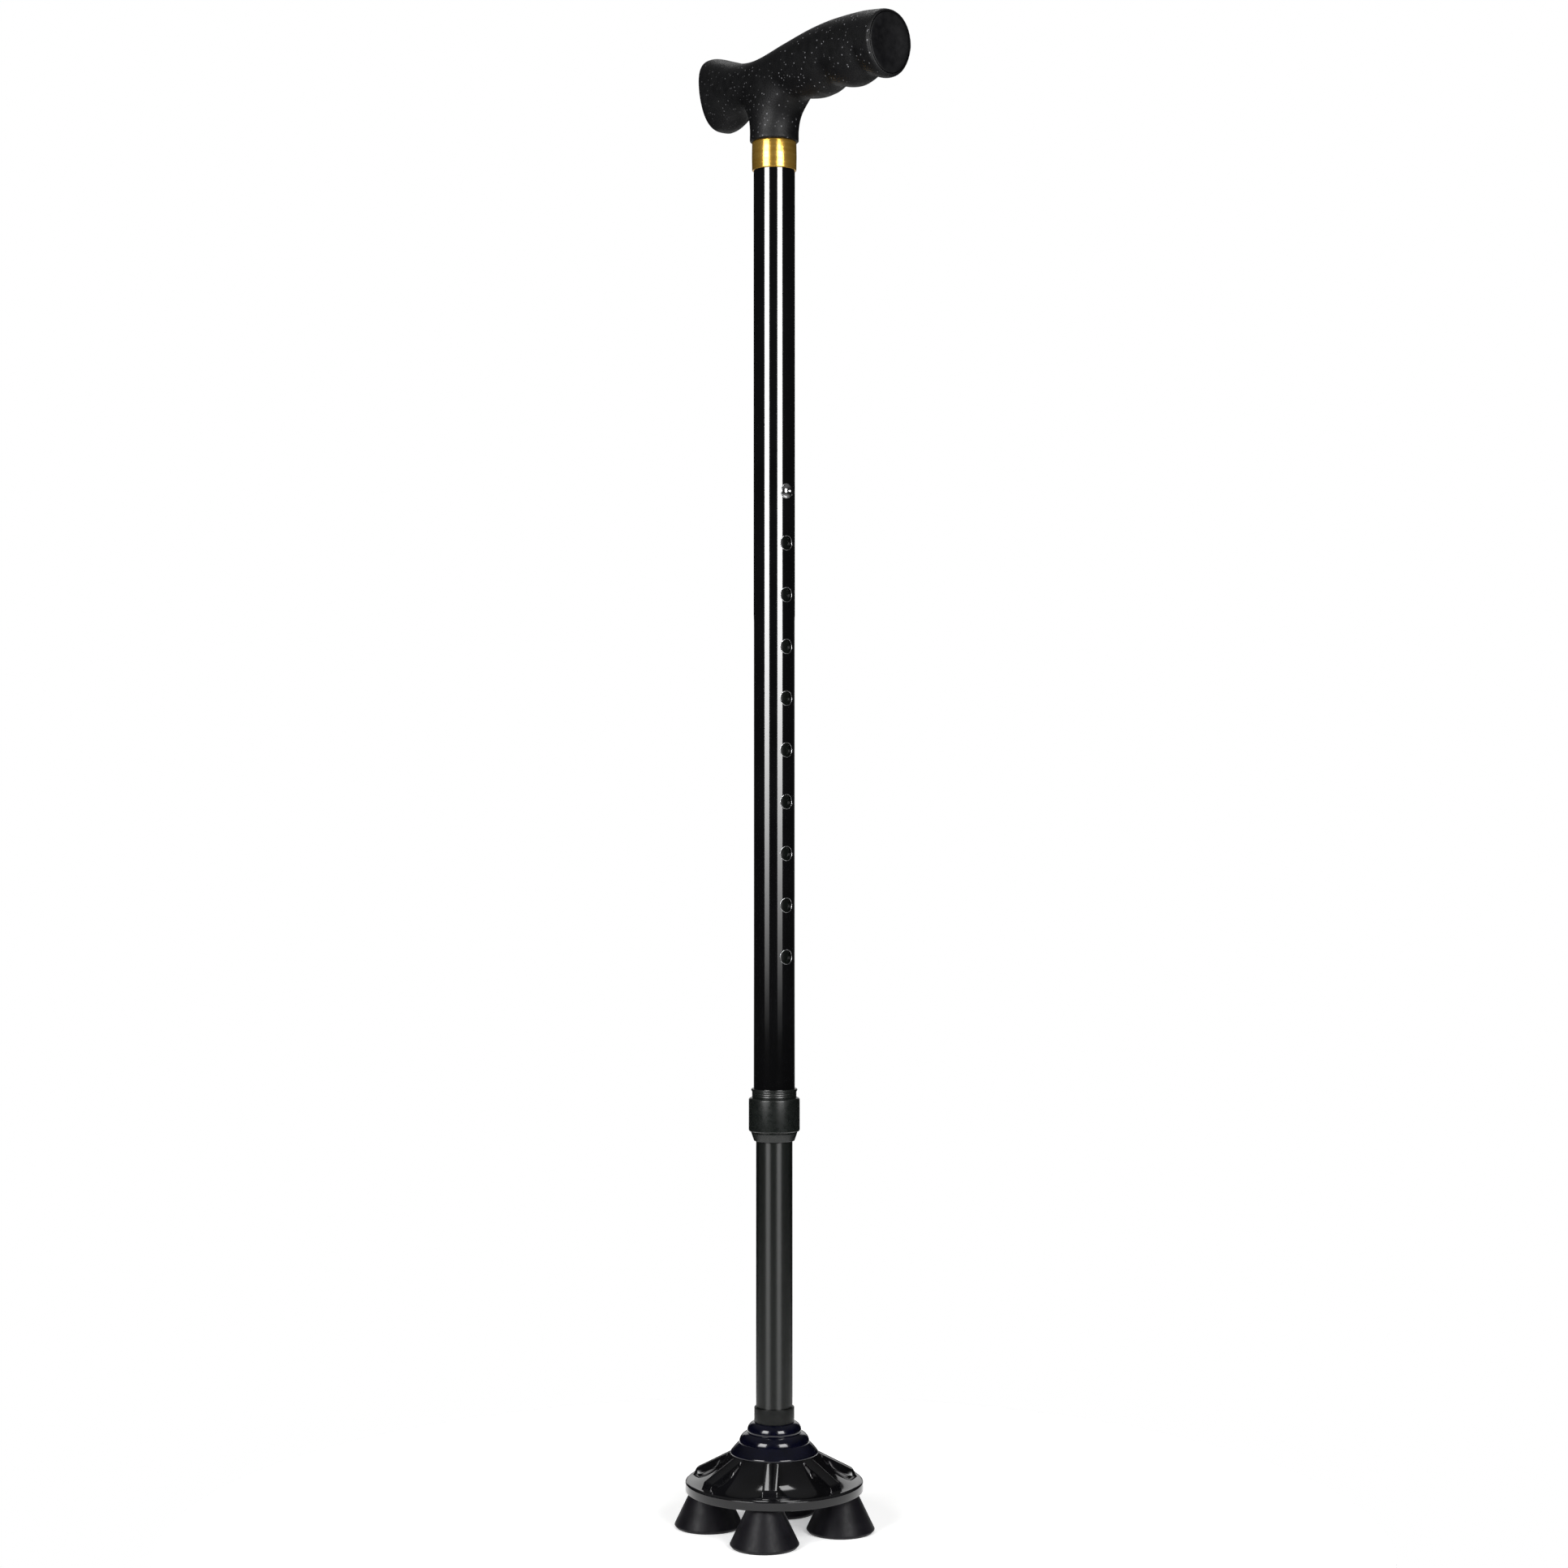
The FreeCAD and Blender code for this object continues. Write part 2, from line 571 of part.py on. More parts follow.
def make_lock_nut():
    return turned("lock_nut", [
        ("nutMouth", "nutTail"), ("nutTailRadius", "nutTail"), ("nutStepRadius", "nutTailTop"),
        ("nutStepRadius", "nutBottom"), ("nutRadius - nutEdge", "nutBottom"),
        ("nutRadius", "nutBottom + nutEdge"), ("nutRadius", "nutTop - nutEdge"),
        ("nutRadius - nutEdge", "nutTop"), ("nutThread", "nutTop"), ("nutThread", "nutShoulder"),
        ("nutConeRadius", "nutShoulder"), ("nutConeFootRadius", "nutConeFoot"),
        ("nutMouth", "nutConeFoot"),
    ])


def make_collet_ring():
    """The split nylon ring that the nut closes on the lower tube."""
    body = turned("collet_ring", [
        ("colletBore", "colletBottom"), ("colletBottomRadius", "colletBottom"),
        ("colletTopRadius", "colletTop"), ("colletBore", "colletTop"),
    ])
    sketch = new_sketch(body)
    draw_outline(sketch, tube_outline("overcut", "nutRadius", "colletBottom - overcut", "colletTop + overcut"))
    pocket(body, sketch, "colletSlit", middle=True)
    return body


# Handle: a moulded grip on a metal core that is pinned in the upper tube under a collar.

def make_collar():
    return turned("brass_collar", [
        ("upperRadius", "collarBottom"), ("collarRadius - collarEdge", "collarBottom"),
        ("collarRadius", "collarBottom + collarEdge"), ("collarRadius", "upperTop - collarEdge"),
        ("collarRadius - collarEdge", "upperTop"), ("upperRadius", "upperTop"),
    ])


def make_handle_core():
    body = turned("handle_core", [
        ("coreBore", "coreBottom"), ("coreRadius", "coreBottom"), ("coreRadius", "upperTop"),
        ("coreNeckRadius", "upperTop"), ("coreNeckRadius", "coreTop"), ("0", "coreTop"),
        ("0", "coreCap"), ("coreBore", "coreCap"),
    ])
    cross_hole(body, "pinRadius", "handlePinHeight")
    return body


def loft(body, sketches):
    feature = body.newObject("PartDesign::AdditiveLoft", body.Name + "_loft")
    feature.Profile = sketches[0]
    feature.Sections = sketches[1:]
    return feature


def make_handle_grip():
    body = new_body("handle_grip")
    sections = []
    for station in gripSections:
        sketch = new_sketch(body, "YZ_Plane", station + "X")
        draw_rounded(sketch, "- " + station + "Half", station + "Half", station + "Bottom",
                     station + "Top", "gripCorner")
        sections.append(sketch)
    loft(body, sections)
    doc.recompute()
    foot = new_sketch(body, "XY_Plane", "upperTop")
    draw_rounded(foot, "- neckRadius", "neckRadius", "- neckRadius", "neckRadius", "neckCorner")
    rings = [foot]
    for station in neckSections:
        sketch = new_sketch(body, "XY_Plane", station + "Height")
        draw_rounded(sketch, "- " + station + "Behind", station + "Ahead", "- " + station + "Half",
                     station + "Half", "neckCorner" if station != "neckRoot" else "gripCorner")
        rings.append(sketch)
    loft(body, rings)
    doc.recompute()
    bore(body, "coreNeckRadius", "0", "coreTop")
    sketch = new_sketch(body, "YZ_Plane", "noseFaceX")
    draw_rounded(sketch, "- capHalfWidth", "capHalfWidth", "capBottom", "capTop", "capCorner")
    pocket(body, sketch, "capDepth")
    return body


def make_nose_cap():
    body = new_body("nose_cap")
    sketch = new_sketch(body, "YZ_Plane", "noseFaceX - capDepth")
    draw_rounded(sketch, "- capHalfWidth", "capHalfWidth", "capBottom", "capTop", "capCorner")
    pad(body, sketch, "capDepth")
    return body


nodes = [
    make_base_shell(), make_base_plate(),
    make_foot("front_left_foot", FOOT_TURN), make_foot("rear_left_foot", FOOT_TURN + 90),
    make_foot("rear_right_foot", FOOT_TURN + 180), make_foot("front_right_foot", FOOT_TURN + 270),
    make_foot_washers(),
    make_ring_of_studs("foot_screws", "4", "footCircle", FOOT_TURN, [
        ("footScrewHead", "footScrewHeadTop - footScrewHeadTall", "footScrewHeadTall"),
        ("footScrew", "footScrewHeadTop", "footScrewEnd - footScrewHeadTop"),
    ]),
    make_ball_socket(), make_retaining_ring(),
    make_ring_of_studs("ring_screws", "3", "ringScrewCircle", 0, [
        ("ringScrewHead", "ringTop - ringScrewHeadTall", "ringScrewHeadTall"),
        ("ringScrewRadius", "ringScrewEnd", "ringTop - ringScrewHeadTall - ringScrewEnd"),
    ]),
    make_pivot_liner(), make_ball_stud(), make_jam_nut(), make_stem_plug(),
    make_pin("stem_pin", "stemPinHeight", "lowerRadius - pinInset"), make_neck_sleeve(), make_rubber_boot(),
    make_lower_tube(), make_guide_bush(), make_snap_button(), make_button_spring(),
    make_upper_tube(), make_lock_socket(), make_lock_nut(), make_collet_ring(),
    make_collar(), make_handle_core(), make_pin("handle_pin", "handlePinHeight", "upperRadius - pinInset"),
    make_handle_grip(), make_nose_cap(),
]
doc.recompute()

# A failed feature, a cut that takes nothing away or a broken shape stops the script before it writes.
for thing in doc.Objects:
    if {"Invalid", "Error"} & set(thing.State):
        raise RuntimeError(f"{thing.Name} failed: {thing.State}")
    if thing.TypeId in ("PartDesign::Pocket", "PartDesign::Groove"):
        if not thing.Shape.Volume < thing.BaseFeature.Shape.Volume - 0.01:
            raise RuntimeError(f"{thing.Name} cuts nothing")
for node in nodes:
    if node.Shape.isNull() or not node.Shape.isValid() or not node.Shape.Solids:
        raise RuntimeError(f"{node.Label} has no valid shape")

os.makedirs("parts", exist_ok=True)
for node in nodes:
    node.Shape.exportStep(f"parts/{node.Label}.step")
    print(f"{node.Label}: {len(node.Shape.Solids)} solid(s), {node.Shape.Volume / 1000:.2f} cm3")
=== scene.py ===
import math

import bmesh
import bpy
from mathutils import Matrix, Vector


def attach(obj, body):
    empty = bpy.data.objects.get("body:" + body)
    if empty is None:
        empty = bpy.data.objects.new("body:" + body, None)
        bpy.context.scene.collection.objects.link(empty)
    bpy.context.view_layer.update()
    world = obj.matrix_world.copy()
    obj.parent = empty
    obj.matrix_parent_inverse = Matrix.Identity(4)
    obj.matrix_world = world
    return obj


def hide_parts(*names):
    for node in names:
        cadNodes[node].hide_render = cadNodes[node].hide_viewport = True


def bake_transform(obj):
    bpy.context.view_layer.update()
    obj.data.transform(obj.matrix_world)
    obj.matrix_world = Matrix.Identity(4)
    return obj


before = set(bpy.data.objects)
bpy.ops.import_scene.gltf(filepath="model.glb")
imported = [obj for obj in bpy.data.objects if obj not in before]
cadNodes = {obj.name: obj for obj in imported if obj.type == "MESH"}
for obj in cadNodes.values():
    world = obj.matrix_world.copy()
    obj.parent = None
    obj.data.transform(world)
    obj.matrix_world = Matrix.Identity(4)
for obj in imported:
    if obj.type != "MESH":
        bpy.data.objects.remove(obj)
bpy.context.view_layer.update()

mm = 0.001               # sizes below are in millimetres, meshes in metres
scene = bpy.context.scene


# Small tools

def sideVector(turn):
    # Level direction from the cane towards somebody standing at that turn.
    angle = math.radians(turn)
    return Vector((math.sin(angle), -math.cos(angle), 0.0))


def ease(value, low, high):
    share = min(1.0, max(0.0, (value - low) / (high - low)))
    return share * share * (3 - 2 * share)


def smoothLine(points, where):
    # Height of a smooth curve through (place, height) points, level past its ends.
    if where <= points[0][0]:
        return points[0][1]
    if where >= points[-1][0]:
        return points[-1][1]
    index = next(i for i in range(len(points) - 1) if where <= points[i + 1][0])

    def slopeAt(i):
        before, after = points[max(i - 1, 0)], points[min(i + 1, len(points) - 1)]
        return (after[1] - before[1]) / (after[0] - before[0])

    (x0, y0), (x1, y1) = points[index], points[index + 1]
    gap = x1 - x0
    t = (where - x0) / gap
    rise = slopeAt(index) * gap * (t ** 3 - 2 * t ** 2 + t) + slopeAt(index + 1) * gap * (t ** 3 - t ** 2)
    return y0 * (2 * t ** 3 - 3 * t ** 2 + 1) + y1 * (3 * t ** 2 - 2 * t ** 3) + rise


def arcBetween(start, end, radius, steps, bulge=1):
    # Points after start, up to end, on an arc that bulges to the right of the way (or left with -1).
    start, end = Vector(start), Vector(end)
    chord = end - start
    across = Vector((chord.y, -chord.x)).normalized() * bulge
    centre = (start + end) / 2 - across * math.sqrt(max(radius ** 2 - (chord.length / 2) ** 2, 0))
    first = math.atan2(start.y - centre.y, start.x - centre.x)
    last = math.atan2(end.y - centre.y, end.x - centre.x)
    sweep = (last - first + math.pi) % (2 * math.pi) - math.pi
    angles = [first + sweep * k / steps for k in range(1, steps + 1)]
    return [centre + Vector((math.cos(a), math.sin(a))) * radius for a in angles]


def roundCorners(corners, steps=6):
    # Corners are (radius, height) or (radius, height, rounding); a closed outline comes back.
    points = []
    for i, corner in enumerate(corners):
        here = Vector(corner[:2])
        if len(corner) < 3:
            points.append(here)
            continue
        back = (Vector(corners[i - 1][:2]) - here).normalized()
        ahead = (Vector(corners[(i + 1) % len(corners)][:2]) - here).normalized()
        half = back.angle(ahead) / 2
        reach = corner[2] / math.tan(half)
        centre = here + (back + ahead).normalized() * (corner[2] / math.sin(half))
        start, end = here + back * reach - centre, here + ahead * reach - centre
        first = math.atan2(start.y, start.x)
        sweep = (math.atan2(end.y, end.x) - first + math.pi) % (2 * math.pi) - math.pi
        for k in range(steps + 1):
            angle = first + sweep * k / steps
            points.append(centre + Vector((math.cos(angle), math.sin(angle))) * corner[2])
    return points


def closedMesh(name, points, faces, sharp=38.0):
    # Mesh object from millimetre points: doubles merged, faces outward, edges sharp past an angle.
    mesh = bpy.data.meshes.new(name)
    mesh.from_pydata([Vector(p) * mm for p in points], [], faces)
    shape = bmesh.new()
    shape.from_mesh(mesh)
    bmesh.ops.remove_doubles(shape, verts=shape.verts, dist=0.002 * mm)
    bmesh.ops.recalc_face_normals(shape, faces=shape.faces)
    shape.to_mesh(mesh)
    shape.free()
    mesh.shade_smooth()
    mesh.set_sharp_from_angle(angle=math.radians(sharp))
    piece = bpy.data.objects.new(name, mesh)
    scene.collection.objects.link(piece)
    return piece


def turnedPiece(name, outline, sides=144, centre=(0.0, 0.0), sharp=38.0):
    # Spins a closed outline of (radius, height) points round an upright axis.
    count = len(outline)
    points = []
    for k in range(sides):
        angle = 2 * math.pi * k / sides
        points += [(centre[0] + r * math.cos(angle), centre[1] + r * math.sin(angle), z)
                   for r, z in outline]
    faces = []
    for k in range(sides):
        here, there = k * count, (k + 1) % sides * count
        faces += [(here + i, there + i, there + (i + 1) % count, here + (i + 1) % count)
                  for i in range(count)]
    return closedMesh(name, points, faces, sharp)


def bandFaces(rings, around):
    # Quads between rings of points, with a cap at both ends.
    faces = []
    for i in range(rings - 1):
        for k in range(around):
            n = (k + 1) % around
            faces.append((i * around + k, i * around + n, (i + 1) * around + n, (i + 1) * around + k))
    faces.append(tuple(range(around))[::-1])
    faces.append(tuple((rings - 1) * around + k for k in range(around)))
    return faces


def evaluated(piece):
    # The piece's modifiers made final, in its own mesh.
    graph = bpy.context.evaluated_depsgraph_get()
    mesh = bpy.data.meshes.new_from_object(piece.evaluated_get(graph), depsgraph=graph)
    piece.modifiers.clear()
    piece.data = mesh
    mesh.name = piece.name
    return piece


def addNode(tree, kind, inputs=None, **settings):
    # A new node: an input given a socket is linked to it, and any other value is set.
    node = tree.nodes.new(kind)
    for name, value in settings.items():
        setattr(node, name, value)
    for key, value in (inputs or {}).items():
        if isinstance(value, bpy.types.NodeSocket):
            tree.links.new(value, node.inputs[key])
        else:
            node.inputs[key].default_value = value
    return node


def newTree(name, sockets):
    # A geometry tree from mesh to mesh, with the given (name, kind) inputs and a finish.
    tree = bpy.data.node_groups.new(name, "GeometryNodeTree")
    for socket, kind in [("Geometry", "Geometry"), *sockets, ("Finish", "Material")]:
        tree.interface.new_socket(socket, in_out="INPUT", socket_type="NodeSocket" + kind)
    tree.interface.new_socket("Geometry", in_out="OUTPUT", socket_type="NodeSocketGeometry")
    return tree


def setInputs(piece, tree, values):
    # Adds the tree to the piece and sets its named inputs by their identifiers.
    modifier = piece.modifiers.new(tree.name, "NODES")
    modifier.node_group = tree
    for item in tree.interface.items_tree:
        if item.item_type == "SOCKET" and item.in_out == "INPUT" and item.name in values:
            modifier[item.identifier] = values[item.name]
    return piece


def settle(piece, body, slot, material, *replaced):
    # Gives a finished piece its material and body. Its slot is not used.
    piece.data.materials.clear()
    piece.data.materials.append(material)
    if replaced:
        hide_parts(*replaced)
    if body:
        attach(piece, body)
    return piece


# Camera, light and floor

cameraValues = {"turn": 53.0, "distance": 1.394, "aside": 0.0048, "height": 0.3676, "lens": 64.85,
                "sensor": 36.0, "clip": 0.05}
softboxes = {
    # turn is counted from the camera round the cane
    "keyLeft": {"turn": -41.5, "distance": 1.2, "height": 0.62, "wide": 0.58, "tall": 1.0, "strength": 13.0},
    "keyRight": {"turn": 31.5, "distance": 1.2, "height": 0.62, "wide": 0.58, "tall": 1.0, "strength": 13.0},
    "rearSheet": {"turn": 180.0, "distance": 1.0, "height": 0.26, "wide": 0.8, "tall": 0.5, "strength": 0.95},
    "topSpot": {"turn": 177.0, "distance": 0.62, "height": 1.75, "wide": 0.62, "tall": 0.5, "strength": 7.0},
}
# lamps nearer than levelFrom look down at the base; each one fades in from its edge up to fadeTo
lampValues = {"levelFrom": 0.8, "aimHeight": 0.03, "fadeTo": 0.48}
roomValues = {"backdrop": 1.0, "level": 0.010, "ceiling": 0.16, "below": 0.35,
              "darkUpTo": 0.30, "brightFrom": 0.95}
floorValues = {"radius": 0.30, "thick": 0.004, "sides": 96, "colour": (0.93, 0.93, 0.925),
               "roughness": 0.9, "glow": 0.34}


def placeCamera(v):
    lens = bpy.data.cameras.new("studioCamera")
    lens.lens = v["lens"]
    lens.sensor_width = v["sensor"]
    lens.clip_start = v["clip"]
    camera = bpy.data.objects.new("studioCamera", lens)
    scene.collection.objects.link(camera)
    away = sideVector(v["turn"])
    right = Vector((-away.y, away.x, 0.0))
    camera.location = away * v["distance"] + right * v["aside"] + Vector((0, 0, v["height"]))
    camera.rotation_euler = (-away).to_track_quat("-Z", "Y").to_euler()
    scene.camera = camera


def addSoftbox(name, v):
    light = bpy.data.lights.new(name, "AREA")
    light.shape = "RECTANGLE"
    light.size = v["wide"]
    light.size_y = v["tall"]
    light.energy = v["strength"] * v["wide"] * v["tall"] * math.pi
    lamp = bpy.data.objects.new(name, light)
    scene.collection.objects.link(lamp)
    place = sideVector(cameraValues["turn"] + v["turn"]) * v["distance"]
    lamp.location = place + Vector((0, 0, v["height"]))
    lamp.visible_camera = False
    aim = -place
    if v["distance"] < lampValues["levelFrom"]:
        aim = Vector((0, 0, lampValues["aimHeight"])) - lamp.location
    lamp.rotation_euler = aim.to_track_quat("-Z", "Y").to_euler()
    # the diffuser fades out towards its lower edge
    light.use_nodes = True
    tree = light.node_tree
    where = addNode(tree, "ShaderNodeNewGeometry")
    split = addNode(tree, "ShaderNodeSeparateXYZ", {0: where.outputs["Parametric"]})
    fade = addNode(tree, "ShaderNodeMapRange", {
        "Value": split.outputs["Y"], "From Max": lampValues["fadeTo"]}, interpolation_type="SMOOTHSTEP")
    tree.links.new(fade.outputs["Result"], tree.nodes["Emission"].inputs["Strength"])


def paintRoom(v):
    # White to the camera; in reflections a bright ceiling and ground with dark walls between.
    world = bpy.data.worlds.new("studioRoom")
    scene.world = world
    world.use_nodes = True
    tree = world.node_tree
    tree.nodes.clear()
    where = addNode(tree, "ShaderNodeTexCoord")
    split = addNode(tree, "ShaderNodeSeparateXYZ", {0: where.outputs["Generated"]})

    def brightening(way, top):
        # from the dark walls to the top value, upwards with 1 and downwards with -1
        return addNode(tree, "ShaderNodeMapRange", {
            "Value": split.outputs["Z"], "From Min": way * v["darkUpTo"], "From Max": way * v["brightFrom"],
            "To Min": v["level"], "To Max": top}, interpolation_type="SMOOTHSTEP").outputs["Result"]

    brighter = addNode(tree, "ShaderNodeMath", {
        0: brightening(1, v["ceiling"]), 1: brightening(-1, v["below"])}, operation="MAXIMUM")
    white = (1, 1, 1, 1)
    room = addNode(tree, "ShaderNodeBackground", {"Color": white, "Strength": brighter.outputs[0]})
    backdrop = addNode(tree, "ShaderNodeBackground", {"Color": white, "Strength": v["backdrop"]})
    rays = addNode(tree, "ShaderNodeLightPath")
    choose = addNode(tree, "ShaderNodeMixShader", {
        0: rays.outputs["Is Camera Ray"], 1: room.outputs[0], 2: backdrop.outputs[0]})
    addNode(tree, "ShaderNodeOutputWorld", {"Surface": choose.outputs[0]})


def layFloor(v):
    radius, thick = v["radius"] / mm, v["thick"] / mm
    outline = [Vector((0, 0)), Vector((radius, 0)), Vector((radius, -thick)), Vector((0, -thick))]
    floor = turnedPiece("studioFloor", outline, sides=v["sides"])
    paper = bpy.data.materials.new("paleSweep")
    paper.use_nodes = True
    shader = paper.node_tree.nodes["Principled BSDF"]
    shader.inputs["Base Color"].default_value = (*v["colour"], 1)
    shader.inputs["Roughness"].default_value = v["roughness"]
    shader.inputs["Specular IOR Level"].default_value = 0.0
    shader.inputs["Emission Color"].default_value = (1, 1, 1, 1)
    shader.inputs["Emission Strength"].default_value = v["glow"]
    floor.data.materials.append(paper)


placeCamera(cameraValues)
for boxName, boxValues in softboxes.items():
    addSoftbox(boxName, boxValues)
paintRoom(roomValues)
layFloor(floorValues)
scene.view_settings.view_transform = "Standard"
print("stage: camera, softboxes, room and floor are up")


# Finishes

# Each finish: two tones mottled at a size, a roughness that wanders, a grain and its depth (mm),
# and a stretch of the pattern along x, y, z. The remaining values go straight onto the shader.
finishes = {
    "gloss_lacquer": {"tones": ((0.0020, 0.0020, 0.0022), (0.0030, 0.0030, 0.0034)), "mottle": 30.0,
                      "roughness": (0.05, 0.10), "grain": 3.5, "depth": 0.003, "coat": 1.0},
    "satin_lacquer": {"tones": ((0.0022, 0.0030, 0.0025), (0.0031, 0.0041, 0.0034)), "mottle": 22.0,
                      "roughness": (0.34, 0.38), "grain": 0.9, "depth": 0.0012, "specular": 0.5,
                      "brushed": 0.9},
    # the grip's specks are painted glints: lighter spots in its colour standing in for highlights on the
    # grain
    "grip_black": {"tones": ((0.0010, 0.0010, 0.0013), (0.0024, 0.0024, 0.0029)), "mottle": 9.0,
                   "roughness": (0.46, 0.58), "grain": 0.62, "depth": 0.06, "pebbles": True,
                   "paintedGlints": 0.20, "glintSize": 1.3, "glintsFrom": -40.0, "glintsTo": 30.0,
                   "specular": 0.26},
    "cap_black": {"tones": ((0.0008, 0.0008, 0.0012), (0.0018, 0.0018, 0.0024)), "mottle": 7.0,
                  "roughness": (0.38, 0.50), "grain": 0.6, "depth": 0.02, "specular": 0.2},
    "nut_plastic": {"tones": ((0.0050, 0.0062, 0.0056), (0.0068, 0.0082, 0.0074)), "mottle": 6.0,
                    "roughness": (0.24, 0.34), "grain": 0.5, "depth": 0.004, "specular": 0.5},
    "sleeve_grey": {"tones": ((0.0026, 0.0030, 0.0028), (0.0052, 0.0057, 0.0055)), "mottle": 3.0,
                    "roughness": (0.34, 0.50), "grain": 0.5, "depth": 0.014, "specular": 0.24},
    "boot_rubber": {"tones": ((0.0008, 0.0010, 0.0040), (0.0014, 0.0016, 0.0072)), "mottle": 8.0,
                    "roughness": (0.13, 0.19), "grain": 1.6, "depth": 0.004, "coat": 0.3, "specular": 0.35},
    "base_gloss": {"tones": ((0.0020, 0.0020, 0.0023), (0.0034, 0.0034, 0.0042)), "mottle": 18.0,
                   "roughness": (0.06, 0.12), "grain": 2.6, "depth": 0.003, "coat": 0.2, "specular": 0.34},
    "foot_rubber": {"tones": ((0.0024, 0.0021, 0.0034), (0.0044, 0.0039, 0.0058)), "mottle": 6.0,
                    "roughness": (0.40, 0.52), "grain": 0.45, "depth": 0.018, "pebbles": True,
                    "specular": 0.17},
    "collar_brass": {"tones": ((0.66, 0.365, 0.055), (0.82, 0.50, 0.110)), "mottle": 5.0,
                     "roughness": (0.16, 0.24), "grain": 0.25, "depth": 0.001, "metal": 0.86,
                     "stretch": (0.12, 0.12, 3.0)},
    "button_chrome": {"tones": ((0.52, 0.52, 0.53), (0.64, 0.64, 0.65)), "mottle": 1.2,
                      "roughness": (0.08, 0.16), "grain": 0.5, "depth": 0.001, "metal": 1.0},
    "zinc_steel": {"tones": ((0.45, 0.46, 0.48), (0.62, 0.63, 0.66)), "mottle": 2.2,
                   "roughness": (0.26, 0.42), "grain": 0.4, "depth": 0.003, "metal": 1.0},
    "bare_aluminium": {"tones": ((0.66, 0.67, 0.68), (0.80, 0.81, 0.82)), "mottle": 2.5,
                       "roughness": (0.24, 0.36), "grain": 0.22, "depth": 0.002, "metal": 1.0,
                       "stretch": (1.0, 1.0, 0.15)},
    "spring_steel": {"tones": ((0.30, 0.31, 0.34), (0.46, 0.46, 0.48)), "mottle": 3.0,
                     "roughness": (0.28, 0.40), "grain": 0.3, "depth": 0.002, "metal": 1.0},
    "black_nylon": {"tones": ((0.0050, 0.0050, 0.0054), (0.0085, 0.0085, 0.0090)), "mottle": 4.0,
                    "roughness": (0.40, 0.52), "grain": 0.4, "depth": 0.006},
    "white_nylon": {"tones": ((0.70, 0.69, 0.66), (0.80, 0.79, 0.77)), "mottle": 5.0,
                    "roughness": (0.36, 0.48), "grain": 0.5, "depth": 0.006},
}
# What all finishes share: how detailed each pattern is, and which part of its range is used.
patternValues = {
    "coatRoughness": 0.03, "brushTurn": 0.25,
    "toneDetail": 4.0, "toneRange": (0.35, 0.65),
    "wanderSize": 0.37,      # of the roughness, as a share of the mottle
    "wanderDetail": 6.0, "wanderRange": (0.3, 0.7),
    "grainDetail": 3.0, "pebbleSmooth": 0.5, "pebbleHeight": -1.1,
    # the speck values place the grip's painted glints
    "glintPick": (0.80, 0.86), "glintEdge": (0.34, 0.12), "glintFewest": 0.25, "glintBlue": 1.05,
}


